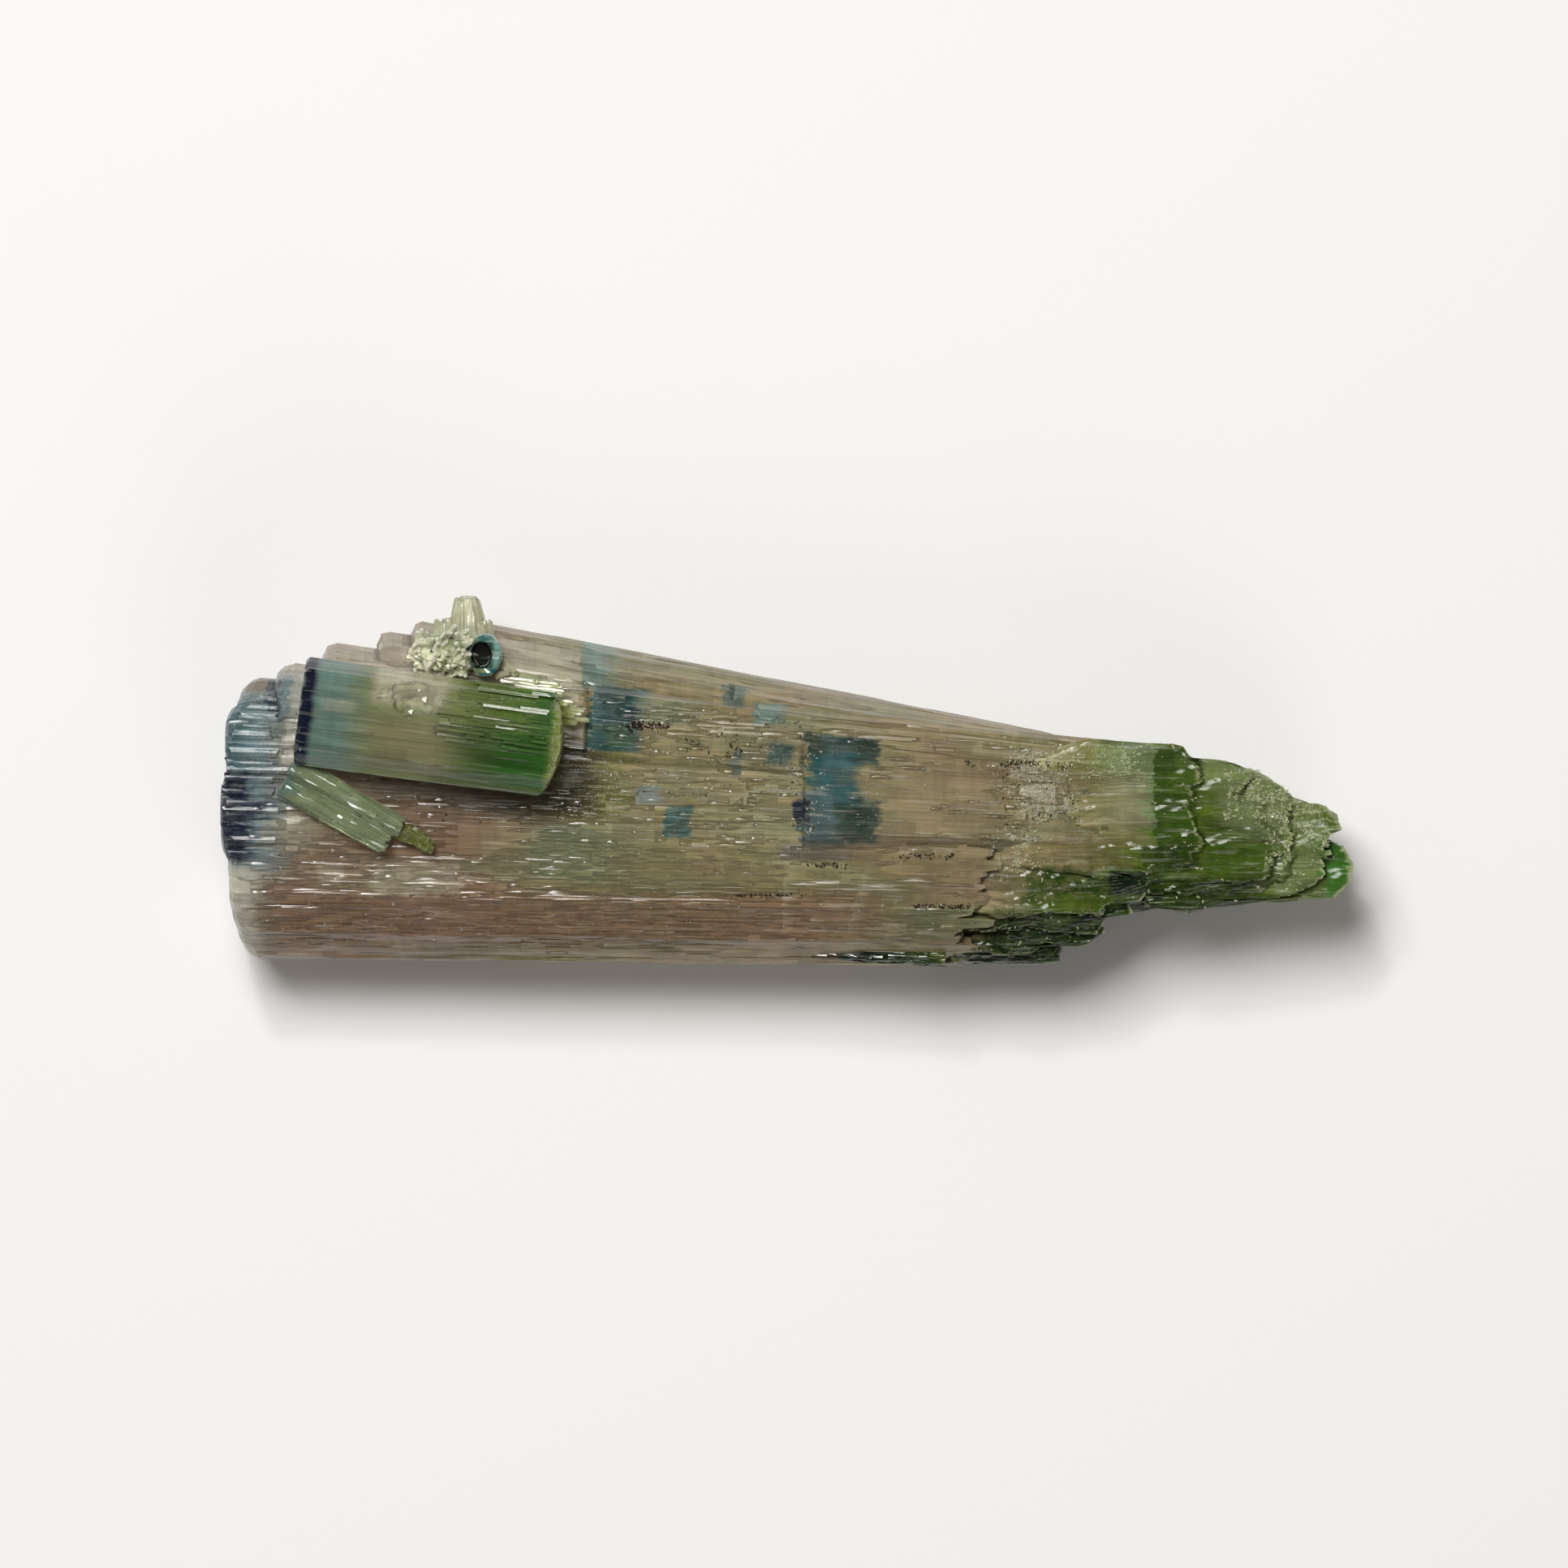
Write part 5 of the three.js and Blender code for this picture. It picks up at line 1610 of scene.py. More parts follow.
SURFACE = dict(transmission=0.5, roughness=0.17, streaks=0.36, bump=0.03, crumble=0.3, drifting=0.38, hatched=0.17)
BODY_FINISH = CrystalFinish("banded tourmaline", BODY_STOPS, BODY_ZONES, BODY_FROST, BODY_PITS, cloudy=0.8, rim_highlight=0.2, **SURFACE)
GREEN_FINISH = CrystalFinish(
    "green tourmaline", BODY_STOPS, GREEN_ZONES, GREEN_FROST, BODY_PITS[-1:], rim_highlight=0.75, rim_highlight_hue=Hue.PALE_CHIP, glints=0.2, groove_shade=0.7,
    frosting=Hue.PALE_CHIP, gloss=0.14, **SURFACE | dict(transmission=0.3, bump=0.014, drifting=0.15, streaks=0.5))


@dataclass
class ColumnBundle:
    """The main body: all long columns, with their low steps and ridges, grown into one solid."""

    workshop: Workshop
    columns: tuple[Column, ...] = BODY_COLUMNS
    steps: tuple[Shingle, ...] = STEPS
    ridges: tuple[Rod, ...] = LEFT_RIDGES
    growth_steps: GrowthSteps = GrowthSteps()
    stretches: tuple[float, ...] = (-40.0, -22.0, -6.0, 5.0, 40.0)
    seed: int = SEED

    def low_steps(self, material: bpy.types.Material) -> bpy.types.Object:
        """Make the low steps of the top as one solid."""
        draw = random.Random(self.seed)
        blades = [blade for shingle in self.steps for blade in shingle.blades(draw)]
        return blade_bundle("steps", blades, self.workshop, material)

    def stretched(self, body: bpy.types.Object) -> None:
        """Give each stretch of the body its own material in place of the first one."""
        mesh, ends = body.data, self.stretches
        first = len(mesh.materials)
        for low, high in zip(ends, ends[1:]):
            mesh.materials.append(BODY_FINISH.within(low, high).material(self.workshop))
        for face in mesh.polygons:
            if face.material_index == 0:
                x = face.center.x / MM
                face.material_index = first + sum(x > end for end in ends[1:-1])

    def build(self) -> bpy.types.Object:
        """Make the body and dress it.

        Returns:
            The finished piece.
        """
        material = bpy.data.materials.new("body")
        grown_columns = [
            column.grow(self.workshop.striation, material, number)
            for number, column in enumerate(self.columns)
        ]
        ridges = [
            ridge.grow(self.workshop.striation, material, number)
            for number, ridge in enumerate(self.ridges)
        ]
        body = joined(grown_columns[0], [*grown_columns[1:], *ridges, self.low_steps(material)], Join.UNITE)
        laid = self.growth_steps.lay(body, random.Random(self.seed))
        shape = {"Crowding": 1.0, "Sunk Ends": self.growth_steps.sunk_ends}
        joined(body, [blade_bundle("growth steps", laid, self.workshop, material, **shape)], Join.UNITE)
        body.name = "column_bundle"
        self.stretched(body)
        finished(body)
        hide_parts(NODE)
        return body


@dataclass
class GreenEnd:
    """The etched right end: the layers of the tip and the ragged flakes in front of them, round a core."""

    workshop: Workshop
    core: Column = TIP_CORE
    parts: tuple[LayeredEnd, ...] = (LayeredEnd("tip layers", TIP_LAYERS), LayeredEnd("flakes", FLAKE_LAYERS, buried=(13.5, 0.3), rising=0.06))
    seed: int = 60

    def build(self) -> bpy.types.Object:
        """Make the right end.

        Returns:
            The finished piece.
        """
        material = GREEN_FINISH.material(self.workshop)
        core = self.core.grow(self.workshop.striation, material, self.seed)
        parts = [part.grow(self.workshop.striation, material, self.seed + number) for number, part in enumerate(self.parts)]
        joined(core, parts, Join.UNITE)
        core.name = "green_end"
        return finished(core)


def blade_bundle(name: str, blades: list[Blade], workshop: Workshop, material: bpy.types.Material, **shape: float):
    """Make a bundle of blades as one solid.

    Args:
        name: The object's name.
        blades: The blades.
        workshop: The shared trees.
        material: The blades' material.
        **shape: The growth tree's Crowding and Sunk Ends, where they differ from its own.

    Returns:
        The object, as a plain mesh, with its grain along X.
    """
    mesh = bpy.data.meshes.new(name)
    mesh.from_pydata([Vector(blade.middle) * MM for blade in blades], [], [])
    spans = [part * MM for blade in blades for part in blade.span]
    turns = [part for blade in blades for part in blade.turn]
    mesh.attributes.new("span", "FLOAT_VECTOR", "POINT").data.foreach_set("vector", spans)
    mesh.attributes.new("turn", "FLOAT_VECTOR", "POINT").data.foreach_set("vector", turns)
    bundle = grown(new_piece(name, mesh), workshop.blades, {"Material": material, **shape})
    with_grain(bundle.data)
    return bundle


def with_grain(mesh: bpy.types.Mesh) -> None:
    """Give a mesh whose columns lie along X the grain of its places: along, and across plus height."""
    places = [0.0] * (3 * len(mesh.vertices))
    mesh.vertices.foreach_get("co", places)
    grain = [
        part
        for x, y, z in zip(places[::3], places[1::3], places[2::3])
        for part in (x, y + z * 0.7, 1.0)
    ]
    held = mesh.attributes.get("grain") or mesh.attributes.new("grain", "FLOAT_VECTOR", "POINT")
    held.data.foreach_set("vector", grain)


# The perched crystal

PERCHED_LEFT = (-29.95, 4.35)
PERCHED_RIGHT = (-13.75, 2.15)
PERCHED_TURN = math.atan2(PERCHED_RIGHT[1] - PERCHED_LEFT[1], PERCHED_RIGHT[0] - PERCHED_LEFT[0])

PERCHED_FINISH = CrystalFinish(
    "perched tourmaline",
    ((0.6, Hue.NAVY), (1.15, Hue.PERCHED_TEAL), (2.0, Hue.PERCHED_TEAL), (5.2, Hue.GREY_OLIVE), (8.2, Hue.GREY_OLIVE),
     (11.5, Hue.LEAF_GREEN), (13.0, Hue.VIVID_GREEN), (15.2, Hue.VIVID_GREEN), (16.1, Hue.LIME)),
    (
        Zone(Hue.PALE_GREEN, 2.8, 9.5, 1.4, 3.6, 0.6, (1.0, 1.5, 0.3)),
        Zone(Hue.PALE_TEAL, 0.8, 3.4, 2.0, 3.6, 0.6, (0.2, 1.0, 0.3)),
        Zone(Hue.ROSE, 4.4, 9.5, -2.6, 0.3, 0.45, (1.5, 1.5, 0.6)),
        Zone(Hue.PALE_GREEN, 8.5, 15.4, -3.5, -2.85, 0.75, (1.0, 0.4, 0.15)),
        Zone(Hue.DARK_GREEN, 11.2, 14.8, -1.7, -1.2, 0.35, (1.5, 0.6, 0.3)),
        Zone(Hue.LIME, 8.8, 14.5, 0.4, 3.4, 0.35, (0.8, 1.0, 0.3)),
        Zone(Hue.SHEEN, 4.4, 8.9, 1.1, 3.9, 0.8, (0.4, 0.5, 0.3), ragged=1.0),
        Zone(Hue.SHEEN, 1.6, 3.4, 0.2, 1.0, 0.45, (0.5, 0.5, 0.25), ragged=1.0),
        Zone(Hue.PALE_CHIP, 0.8, 16.0, -3.8, -3.3, 0.6, (0.2, 0.2, 0.06)),
    ),
    (Zone(Hue.WHITE, 4.6, 8.6, 1.2, 3.8, 0.3, (0.6, 0.6, 0.4)), Zone(Hue.WHITE, 15.6, 17, -2.5, 2.5, 0.5)),
    transmission=0.5, roughness=0.12, streaks=0.5, bump=0.012, crumble=0.35, rim_highlight=0.35, rim_highlight_hue=Hue.PALE_GREEN,
    straying=0.12, glints=0.25, hatched=0.09, turn=PERCHED_TURN, centre=(*PERCHED_LEFT, 0.0),
)


@dataclass
class PerchedCrystal:
    """The short thick crystal that lies on the left part of the top, with its scar and broken corner."""

    workshop: Workshop
    column: Column = Column(
        "perched_crystal", 0.0, math.dist(PERCHED_LEFT, PERCHED_RIGHT),
        ((-3.35, 12.7), (-2.2, 13.9), (0.25, 15.2), (1.5, 15.35), (2.6, 14.5), (3.3, 12.9), (3.1, 11), (1, 9.8),
         (-1.4, 10.2), (-2.9, 11.6)),
        (0.96, 1), (0, 0.9), 0.2, blunt=0.9,
        relief=Relief(spacing=0.5, depth=0.05, breaks=7, calm_top=0, end_cell=0.6, ragged=0.15), pitch=0.14, stride=0.5,
    )
    scars: tuple[tuple[Spot, float], ...] = (
        ((-22.8, 5.6, 16.75), 2.05), ((-24.6, 5.9, 16.5), 1.3), ((-13.1, 6.1, 15.5), 1.9), ((-13.0, 0.3, 14.4), 0.9),
    )
    rib_pitch: float = 0.14
    rib_run: tuple[float, float] = (8.4, 15.6)
    rib_rows: tuple[float, float] = (-0.6, 3.25)
    rib_rise: tuple[float, float] = (0.02, 0.2)
    seed: int = 7

    def placing(self) -> Matrix:
        """Where the crystal's own axis lies on the body."""
        return Matrix.Translation((PERCHED_LEFT[0] * MM, PERCHED_LEFT[1] * MM, 0)) @ Matrix.Rotation(PERCHED_TURN, 4, "Z")

    def skin(self, along: float, across: float) -> float:
        """The height of the crystal's upper side at a place along and across its axis."""
        upper = [corner for corner in self.column.outline if corner[1] > 12.6]
        for (y, z), (next_y, next_z) in zip(upper, upper[1:]):
            if y <= across <= next_y:
                share = along / self.column.end
                return lerp(z, next_z, (across - y) / (next_y - y)) + self.column.far_shift[1] * share
        return upper[-1][1]

    def ribs(self, material: bpy.types.Material) -> bpy.types.Object:
        """Make the broken ribs on the crystal's upper right sides."""
        draw = random.Random(self.seed)
        rows = round((self.rib_rows[1] - self.rib_rows[0]) / self.rib_pitch)
        ribs = []
        for row in range(rows):
            across = self.rib_rows[0] + self.rib_pitch * (row + 0.5)
            along = self.rib_run[0] + draw.uniform(0, 2.5)
            while along < self.rib_run[1] - 1.0:
                reach = min(self.rib_run[1] - draw.uniform(0, 0.5), along + draw.uniform(0.7, 4.2))
                height = self.skin((along + reach) / 2, across) + draw.uniform(*self.rib_rise)
                ribs.append(
                    upright((along, across, height - 1.5), (reach, across, height), self.rib_pitch * 1.25, draw.uniform(-0.22, 0.3))
                )
                along = reach + draw.uniform(0.0, 1.2)
        return blade_bundle("perched ribs", ribs, self.workshop, material)

    def build(self) -> list[bpy.types.Object]:
        """Make the perched crystal."""
        material = PERCHED_FINISH.material(self.workshop)
        crystal = self.column.grow(self.workshop.striation, material, self.seed)
        joined(crystal, [self.ribs(material)], Join.UNITE)
        crystal.data.transform(self.placing())
        draw = random.Random(self.seed)
        joined(crystal, [bite(centre, radius, draw, material) for centre, radius in self.scars], Join.CUT)
        return [finished(crystal)]


def bite(centre: Spot, radius: float, draw: random.Random, material: bpy.types.Material) -> bpy.types.Object:
    """Make the rough ball that a broken place is cut with.

    Args:
        centre: Its middle in millimetres.
        radius: Its radius in millimetres.
        draw: The seeded random numbers.
        material: What the broken face is made of.

    Returns:
        The object.
    """
    ball = bmesh.new()
    bmesh.ops.create_icosphere(ball, subdivisions=4, radius=1.0)
    shift = Vector((draw.uniform(-9, 9), draw.uniform(-9, 9), 0))
    for vertex in ball.verts:
        swell = noise.noise(vertex.co * 2.2 + shift) * 0.22 + noise.noise(vertex.co * 6 + shift) * 0.08
        vertex.co = (Vector(centre) + vertex.co * radius * (1 + swell)) * MM
    mesh = bpy.data.meshes.new("bite")
    ball.to_mesh(mesh)
    ball.free()
    mesh.materials.append(material)
    with_grain(mesh)
    return new_piece("bite", mesh)


# Small crystals


@dataclass(frozen=True)
class RodSet:
    """Thin rods that grew together, with their finish."""

    name: str
    finish: CrystalFinish
    rods: tuple[Rod, ...]

    def build(self, workshop: Workshop) -> bpy.types.Object:
        """Grow the rods and unite them.

        Args:
            workshop: The shared trees.

        Returns:
            The finished piece.
        """
        material = self.finish.material(workshop)
        grown_rods = [rod.grow(workshop.striation, material, number + 40) for number, rod in enumerate(self.rods)]
        piece = grown_rods[0]
        if len(grown_rods) > 1:
            joined(piece, grown_rods[1:], Join.UNITE)
        piece.name = self.name
        return finished(piece)


def stripes(name: str, start: Spot, end: Spot, rows: int, pitch: float, seed: int) -> tuple[Rod, ...]:
    """Narrow rods side by side, which make one striped chip.

    Args:
        name: The chip's name.
        start: The middle of its left end.
        end: The middle of its right end.
        rows: How many rods.
        pitch: The distance between them.
        seed: The seed of their lengths and heights.

    Returns:
        The rods.
    """
    draw = random.Random(seed)
    found = []
    for row in range(rows):
        side = (row - (rows - 1) / 2) * pitch
        drop = abs(side) * 0.35 + draw.uniform(0.0, 0.12)
        first = (start[0] + draw.uniform(-0.1, 0.9), start[1] + side, start[2] - drop)
        last = (end[0] - draw.uniform(0.0, 0.9), end[1] + side, end[2] - drop)
        found.append(Rod(f"{name} {row}", first, last, (pitch * 0.75, pitch * 0.7), 0.9, 6, STRIPE_RELIEF, 0.09, draw.uniform(0.25, 0.42)))
    return tuple(found)


STRIPE_RELIEF = Relief(spacing=0.1, depth=0.03, breaks=1.5, calm_top=0, end_cell=0.2, ragged=0.2)
ROUGH_ROD = Relief(spacing=0.28, depth=0.16, breaks=0.8, calm_top=0, end_cell=0.3, ragged=0.4)
ROUGH_BLADE = Relief(spacing=0.3, depth=0.12, breaks=2.0, calm_top=0, end_cell=0.3, ragged=0.4)
GLASSY = dict(transmission=0.6, roughness=0.1, streaks=0.5, bump=0.012, crumble=0.2)
SPLINTER_FINISH = CrystalFinish(
    "pale green splinter", ((-31.5, Hue.PALE_TEAL), (-29.5, Hue.GREY_GREEN), (-24, Hue.GREY_GREEN), (-23.2, Hue.PALE_OLIVE_GREEN)),
    rim_highlight_hue=Hue.WHITE, rim_highlight=0.6, **GLASSY)
TAIL_FINISH = CrystalFinish(
    "crumbly splinter tail", ((-25, Hue.GREY_GREEN), (-23.4, Hue.YELLOW_GREEN)), crumbled=0.5, rim_highlight_hue=Hue.LIME, rim_highlight=0.7, **GLASSY)
KNOB_FINISH = CrystalFinish(
    "pale knob", ((-22, Hue.PALE_KNOB), (-18, Hue.PALE_KNOB)), crumbled=0.25, rim_highlight_hue=Hue.WHITE, rim_highlight=0.5, **GLASSY)
CHIP_FINISH = CrystalFinish(
    "bright chip", ((-17.5, Hue.SHEEN), (-15.5, Hue.PALE_CHIP), (-13.4, Hue.LIME), (-12.6, Hue.PALE_CHIP)),
    rim_highlight_hue=Hue.WHITE, rim_highlight=0.9, **GLASSY)
BLADE_FINISH = CrystalFinish(
    "green front blade", ((1, Hue.RED_BROWN), (4.5, Hue.DARK_GREEN), (8.5, Hue.GREEN), (9.6, Hue.YELLOW_GREEN), (11, Hue.DARK_GREEN),
                          (16.5, Hue.GREEN)),
    rim_highlight_hue=Hue.PALE_GREEN, rim_highlight=0.6, **GLASSY)

ROD_SETS = (
    RodSet("long_splinters", SPLINTER_FINISH, (
        Rod("upper splinter", (-30.5, 0.95, 11.7), (-23.6, -2.95, 12.25), (0.78, 0.68), 0.85, 7, roll=-0.2),
        Rod("lower splinter", (-31.1, -0.35, 11.6), (-24.5, -4.0, 12.2), (0.76, 0.64), 0.9, 6, roll=-0.35),
    )),
    RodSet("splinter_tail", TAIL_FINISH, (
        Rod("upper splinter tail", (-25, -2.4, 12), (-21.7, -4.2, 11.7), (0.62, 0.45), 0.9, 6, ROUGH_ROD),
        Rod("tail crumb", (-23.3, -2.9, 11.9), (-21.9, -3.6, 12), (0.35, 0.25), 0.9, 5, ROUGH_ROD),
    )),
    RodSet("pale_knob", KNOB_FINISH, (
        Rod("knob", (-19.6, 7.4, 7.4), (-19.75, 11.35, 8), (1.75, 0.8), 0.9, 8),
        Rod("knob shoulder", (-20.8, 7.2, 7.8), (-21.2, 10.0, 8.2), (1.2, 0.65), 0.9, 7),
        Rod("knob side", (-18.6, 7.6, 8), (-18.75, 9.9, 8.2), (0.95, 0.6), 0.9, 6),
    )),
    RodSet("bright_chips", CHIP_FINISH, (
        *stripes("first chip", (-17.6, 5.7, 12.0), (-13.1, 5.25, 12.65), 7, 0.22, 3),
        *stripes("second chip", (-15.4, 4.3, 11.9), (-12.1, 4.0, 12.6), 6, 0.2, 5),
        Rod("chip beside it", (-17.4, 6.3, 11), (-15.1, 6.05, 12.1), (0.6, 0.45), 0.8, 5),
        Rod("white facet", (-17.6, 7.3, 11.2), (-16.6, 6.5, 12.2), (0.42, 0.3), 0.5, 4),
        Rod("white facet behind", (-18.0, 6.4, 11.6), (-16.9, 6.7, 12.5), (0.34, 0.22), 0.5, 4),
    )),
    RodSet("green_front_blades", BLADE_FINISH, (
        Rod("front blade", (0.0, -10.1, 7.4), (9.8, -10.85, 8.1), (0.85, 0.55), 0.9, 7, ROUGH_BLADE, roll=0.2),
        Rod("front blade below", (10, -10.5, 7.4), (16.8, -10.75, 7.3), (0.85, 0.55), 1.0, 7, ROUGH_BLADE, roll=0.2),
    )),
)

LUMP_FINISH = CrystalFinish(
    "crumbly lump", ((-23.5, Hue.PALE_KNOB), (-21.8, Hue.PALE_KNOB), (-20.8, Hue.PALE_CHIP), (-20, Hue.PALE_KNOB)),
    (Zone(Hue.LEAF_GREEN, -22.2, -19.8, 8.0, 9.8, 0.7, (0.4, 0.4, 0.4), ragged=1.2),),
    crumbled=0.3, rim_highlight_hue=Hue.PALE_GREY, rim_highlight=0.95, groove_shade=0.45, glints=0.9, transmission=0.2, roughness=0.1, streaks=0.4, bump=0.02,
    crumble=0.45)
TUBE_FINISH = CrystalFinish(
    "hollow crystal", ((-19.4, Hue.PALE_GREEN), (-18.6, Hue.TEAL), (-17.6, Hue.PALE_TEAL)),
    # painted shade: the inside of the hollow crystal's hole is black green
    (Zone(Hue.BLACK_GREEN, -19.5, -18.05, 6.9, 8.5, 1.0, (0.1, 0.12, 0.1), ragged=0.05),),
    rim_highlight_hue=Hue.PALE_TEAL, rim_highlight=0.45, cloudy=1.0, **GLASSY | dict(transmission=0.2))


@dataclass
class CrumblyLump:
    """The lump of small crystals between the perched crystal and the knob, and the hollow crystal in front of it."""

    workshop: Workshop
    centre: Spot = (-21.0, 7.7, 10.0)
    spread: Spot = (2.2, 1.4, 2.1)
    crystals: int = 110
    size: tuple[float, float] = (0.25, 0.8)
    sunk: float = 0.92
    swells: tuple[tuple[float, float], ...] = ((1.7, 0.22), (4.1, 0.2), (9.0, 0.1), (19.0, 0.05))
    tube_centre: tuple[float, float] = (-18.55, 7.7)
    tube_profile: tuple[tuple[float, float], ...] = (
        (1.02, 8.6), (1.05, 10.2), (1.03, 12.2), (0.98, 12.5), (0.86, 12.6), (0.66, 12.5), (0.56, 12.2), (0.48, 10.9),
    )
    tube_stretch: float = 1.3
    hole_shift: float = 0.22
    tube_sides: int = 32
    seed: int = 11

    def core(self, material: bpy.types.Material) -> bpy.types.Object:
        """Make the rounded rough core that the small crystals grow from."""
        ball = bmesh.new()
        bmesh.ops.create_icosphere(ball, subdivisions=6, radius=1.0)
        for vertex in ball.verts:
            swell = 0.95 + sum(noise.noise(vertex.co * often) * share for often, share in self.swells)
            vertex.co = Vector([c + v * s * swell for c, v, s in zip(self.centre, vertex.co, self.spread)]) * MM
        mesh = bpy.data.meshes.new("crumbly_lump")
        ball.to_mesh(mesh)
        ball.free()
        mesh.materials.append(material)
        return new_piece("crumbly_lump", mesh)

    def crumbs(self, material: bpy.types.Material) -> bpy.types.Object:
        """Make the small crystals over the core's upper side."""
        draw = random.Random(self.seed)
        points, sizes = [], []
        for _ in range(self.crystals):
            way = Vector((draw.uniform(-1, 1), draw.uniform(-1, 1), draw.uniform(0.0, 1.1))).normalized() * self.sunk
            points.append(Vector([c + w * s for c, w, s in zip(self.centre, way, self.spread)]) * MM)
            sizes.append(draw.uniform(*self.size) * MM)
        mesh = bpy.data.meshes.new("lump crystals")
        mesh.from_pydata(points, [], [])
        mesh.attributes.new("size", "FLOAT", "POINT").data.foreach_set("value", sizes)
        values = {"Facets": 5, "Length Share": 1.5, "Tip Share": 0.4, "Join": True, "Seed": self.seed, "Material": material}
        return grown(new_piece("lump crystals", mesh), self.workshop.crumbs, values)

    def tube(self, material: bpy.types.Material) -> bpy.types.Object:
        """Make the hollow crystal, with a ribbed wall and an open upper end."""
        sides, places = self.tube_sides, []
        for ring, (radius, tall) in enumerate(self.tube_profile):
            shift = self.hole_shift if ring > 4 else 0.0
            for side in range(sides):
                turn = 2 * math.pi * side / sides
                rib = 1 + 0.012 * math.cos(turn * 6) + 0.015 * math.cos(turn * 11 + tall)
                x, y = radius * rib * math.cos(turn), radius * rib * self.tube_stretch * math.sin(turn)
                rise = 0.12 * math.cos(turn * 3 + 1) if tall > 12 else 0.0
                places.append(Vector((self.tube_centre[0] + x - shift, self.tube_centre[1] + y, tall + rise)) * MM)
        rings = len(self.tube_profile)
        faces = [
            (ring * sides + side, ring * sides + (side + 1) % sides, (ring + 1) * sides + (side + 1) % sides, (ring + 1) * sides + side)
            for ring in range(rings - 1)
            for side in range(sides)
        ]
        faces += [tuple(reversed(range(sides))), tuple(range((rings - 1) * sides, rings * sides))]
        mesh = bpy.data.meshes.new("hollow_crystal")
        mesh.from_pydata(places, [], faces)
        mesh.materials.append(material)
        with_grain(mesh)
        return new_piece("hollow_crystal", mesh)

    def build(self) -> list[bpy.types.Object]:
        """Make the lump and the hollow crystal."""
        material = LUMP_FINISH.material(self.workshop)
        lump = joined(self.core(material), [self.crumbs(material)], Join.UNITE)
        with_grain(lump.data)
        return [finished(lump), finished(self.tube(TUBE_FINISH.material(self.workshop)))]


@dataclass(frozen=True)
class GrainPatch:
    """A place on the surface, as a box seen from above, where etched grains stand."""

    left: float
    right: float
    front: float
    back: float
    count: int
    size: tuple[float, float] = (0.07, 0.2)
    clumping: float = 0.1


GRAIN_PATCHES = (
    GrainPatch(13.6, 18.2, -2.6, 2.1, 420),
    GrainPatch(12.6, 15.6, -6.4, -3.0, 200),
    GrainPatch(17.5, 22.4, 0.0, 2.5, 170),
    GrainPatch(26.8, 31.0, -2.4, 1.2, 360),
    GrainPatch(29.2, 33.8, -5.6, -1.0, 420),
    GrainPatch(22.3, 26.0, -5.6, 2.2, 60),
    GrainPatch(13.4, 22.6, -10.6, -5.2, 170, (0.06, 0.16)),
    GrainPatch(22, 33, -8.2, -5.4, 90),
    GrainPatch(-14.2, -9.6, -2.4, 1.9, 90, (0.04, 0.12)),
    GrainPatch(-12.4, -8.8, 2.4, 6.2, 16, (0.04, 0.09)),
    GrainPatch(0.6, 6.0, -4.0, 3.2, 90, (0.04, 0.1)),
    GrainPatch(-31.4, -29.8, 0.4, 7.0, 120, (0.06, 0.16)),
    GrainPatch(-34, -20, -10.4, -4.4, 200, (0.04, 0.1)),
    GrainPatch(-12, 12, -9, 5, 420, (0.04, 0.1), 0.0),
    GrainPatch(-10, 0.5, -1.2, 4.2, 130, (0.06, 0.14), 0.1),
    GrainPatch(0.4, 2.2, -3.6, 2.0, 90, (0.06, 0.16), 0.0),
)
GRAIN_FINISH = CrystalFinish(
    "etched grain", ((-30, Hue.WHITE), (12, Hue.WHITE), (14, Hue.PALE_CHIP), (34, Hue.PALE_CHIP)),
    transmission=0.4, roughness=0.15, streaks=0.2, bump=0.005, crumble=0.2, rim_highlight=0.3, rim_highlight_hue=Hue.WHITE)


# dark specks: small near-black grains that stand for the shade in etch pits
DARK_PATCHES = (
    GrainPatch(-9.9, -7.2, 3.2, 3.5, 46, (0.1, 0.26), -1.0),
    GrainPatch(-9.7, -8.9, 3.1, 3.6, 26, (0.15, 0.34), -1.0),
    GrainPatch(-6.4, -1.6, 1.7, 2.2, 36, (0.1, 0.2), -0.1),
    GrainPatch(-9, 1, -1, 4, 150, (0.08, 0.18), 0.05),
    GrainPatch(6.7, 10.2, -4.75, -4.5, 60, (0.1, 0.26), -0.2),
    GrainPatch(1.2, 3.6, -5.35, -5.1, 36, (0.1, 0.24), -0.2),
    GrainPatch(-3.2, 1.2, -7.1, -6.98, 60, (0.1, 0.2), -0.4),
    GrainPatch(7.7, 11.6, -7.85, -7.6, 70, (0.1, 0.22), -0.3),
    GrainPatch(10.4, 16.2, 0.9, 1.2, 70, (0.1, 0.22), -0.1),
    GrainPatch(13, 18, -2.8, 1.2, 160, (0.08, 0.2), 0.05),
    GrainPatch(-27, -14, -2.6, -0.6, 30, (0.08, 0.2), 0.0),
    GrainPatch(0.2, 1.6, -3.4, 1.2, 70, (0.08, 0.22), 0.0),
)
DARK_FINISH = CrystalFinish(
    "dark speck", ((-30, Hue.NEAR_BLACK), (34, Hue.NEAR_BLACK)), transmission=0.0, roughness=0.3, streaks=0.1, bump=0.004,
    rim_highlight=0.0, glints=0.0)


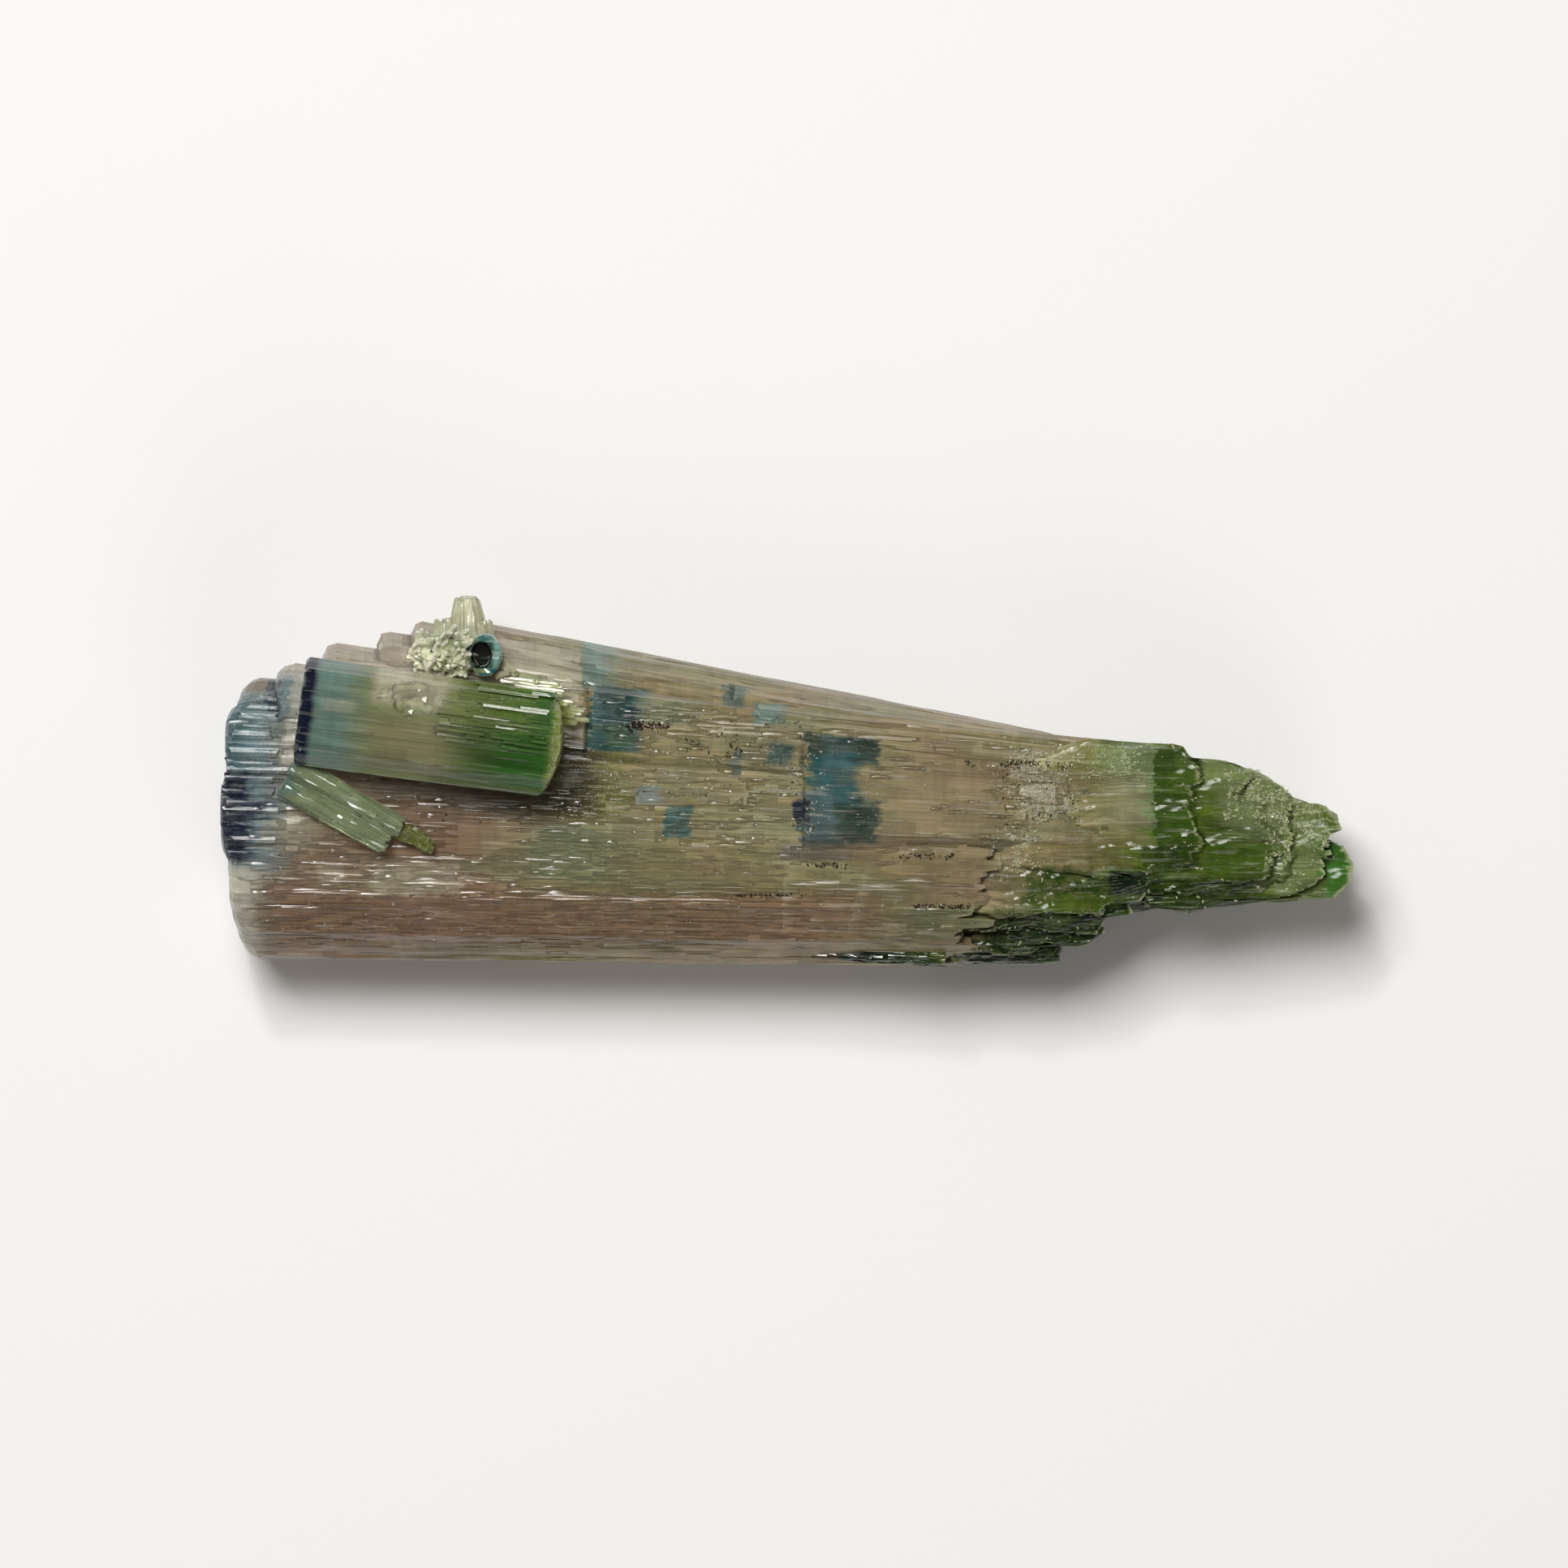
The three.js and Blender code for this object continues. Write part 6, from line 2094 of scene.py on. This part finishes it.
@dataclass
class EtchedGrains:
    """Small grains that stand on the etched places of the body."""

    workshop: Workshop
    carriers: list[bpy.types.Object]
    name: str = "etched_grains"
    finish: CrystalFinish = GRAIN_FINISH
    patches: tuple[GrainPatch, ...] = GRAIN_PATCHES
    sink: float = 0.25
    stretch: float = 1.1
    seed: int = 23

    def build(self) -> list[bpy.types.Object]:
        """Make the grains on what carries them.

        Returns:
            The finished piece.
        """
        trees = [BVHTree.FromObject(carrier, bpy.context.evaluated_depsgraph_get()) for carrier in self.carriers]
        draw = random.Random(self.seed)
        points, sizes = [], []
        for patch in self.patches:
            for _ in range(patch.count):
                x, y = draw.uniform(patch.left, patch.right), draw.uniform(patch.front, patch.back)
                size = draw.uniform(*patch.size) * MM
                if noise.noise(Vector((x * 1.1, y * 1.6, 0))) < patch.clumping:
                    continue
                hits = [tree.ray_cast(Vector((x * MM, y * MM, 0.05)), Vector((0, 0, -1))) for tree in trees]
                highest = max((hit[0] for hit in hits if hit[0] is not None), key=lambda place: place.z, default=None)
                if highest is not None and highest.z > 0.003:
                    points.append(highest - Vector((0, 0, size * self.sink)))
                    sizes.append(size)
        mesh = bpy.data.meshes.new(self.name)
        mesh.from_pydata(points, [], [])
        mesh.attributes.new("size", "FLOAT", "POINT").data.foreach_set("value", sizes)
        values = {
            "Facets": 4, "Length Share": self.stretch, "Tip Share": 0.5, "Seed": self.seed,
            "Material": self.finish.material(self.workshop),
        }
        return [finished(grown(new_piece(self.name, mesh), self.workshop.crumbs, values))]


@dataclass
class Stage:
    """The plain floor, the soft light and the camera."""

    width: float = 96.6
    aim: tuple[float, float] = (-0.2, -0.2)
    mid_height: float = 8.0
    distance: float = 1200.0
    sensor: float = 36.0
    floor_colour: tuple[int, int, int] = (243, 243, 244)

    def build(self) -> None:
        """Make the floor, the lights and the camera."""
        self.floor()
        self.light("window", (-0.20, 0.36, 0.90), 0.40, 8.0, (1.0, 0.985, 0.96))
        self.light("bright pane", (-0.16, 0.46, 0.66), 0.07, 0.9, (1.0, 1.0, 1.0))
        self.light("front fill", (0.25, -0.80, 0.62), 0.5, 1.3, (1.0, 0.97, 0.94))
        world = bpy.data.worlds.new("room")
        world.use_nodes = True
        world.node_tree.nodes["Background"].inputs[0].default_value = (1.0, 0.93, 0.86, 1.0)
        world.node_tree.nodes["Background"].inputs[1].default_value = 0.14
        bpy.context.scene.world = world
        bpy.context.scene.view_settings.view_transform = "Standard"
        self.camera()

    def floor(self) -> None:
        """Make the floor."""
        mesh = bpy.data.meshes.new("floor")
        mesh.from_pydata([(-3, -3, 0), (3, -3, 0), (3, 3, 0), (-3, 3, 0)], [], [(0, 1, 2, 3)])
        plane = new_piece("floor", mesh)
        material = bpy.data.materials.new("floor paper")
        material.use_nodes = True
        shader = material.node_tree.nodes["Principled BSDF"]
        shader.inputs["Base Color"].default_value = linear(self.floor_colour)
        shader.inputs["Roughness"].default_value = 0.8
        shader.inputs["Specular IOR Level"].default_value = 0.1
        mesh.materials.append(material)

    def light(self, name: str, place: Spot, size: float, power: float, colour: Spot) -> None:
        """Make a square light that faces the crystal.

        Args:
            name: Its name.
            place: Where it is, in metres.
            size: Its side, in metres.
            power: Its power in watts.
            colour: Its colour.
        """
        lamp = bpy.data.lights.new(name, "AREA")
        lamp.shape, lamp.size, lamp.energy, lamp.color = "SQUARE", size, power, colour
        holder = bpy.data.objects.new(name, lamp)
        holder.location = place
        holder.rotation_euler = Vector(place).to_track_quat("Z", "Y").to_euler()
        bpy.context.scene.collection.objects.link(holder)

    def camera(self) -> None:
        """Make the camera, straight above the crystal with a long lens."""
        lens = bpy.data.cameras.new("camera")
        lens.sensor_width = self.sensor
        lens.lens = self.sensor * self.distance / self.width
        lens.clip_start, lens.clip_end = 0.01, 10
        holder = bpy.data.objects.new("camera", lens)
        holder.location = (self.aim[0] * MM, self.aim[1] * MM, (self.distance + self.mid_height) * MM)
        bpy.context.scene.collection.objects.link(holder)
        bpy.context.scene.camera = holder


def main() -> None:
    """Build the crystal and its stage, and report each piece."""
    logging.basicConfig(level=logging.INFO, format="%(name)s: %(message)s")
    Stage().build()
    workshop = Workshop()
    body = ColumnBundle(workshop).build()
    pieces = [body, GreenEnd(workshop).build(), *PerchedCrystal(workshop).build(), *CrumblyLump(workshop).build()]
    pieces += [rods.build(workshop) for rods in ROD_SETS]
    carriers = pieces[:]
    pieces += EtchedGrains(workshop, carriers).build()
    # painted shade of etch pits, as dark grains
    pieces += EtchedGrains(workshop, carriers, "dark_specks", DARK_FINISH, DARK_PATCHES, 0.4, 0.9, SEED).build()
    for piece in pieces:
        piece.data.calc_loop_triangles()
        log.info("%s: %d triangles", piece.name, len(piece.data.loop_triangles))


if __name__ == "__main__":
    main()
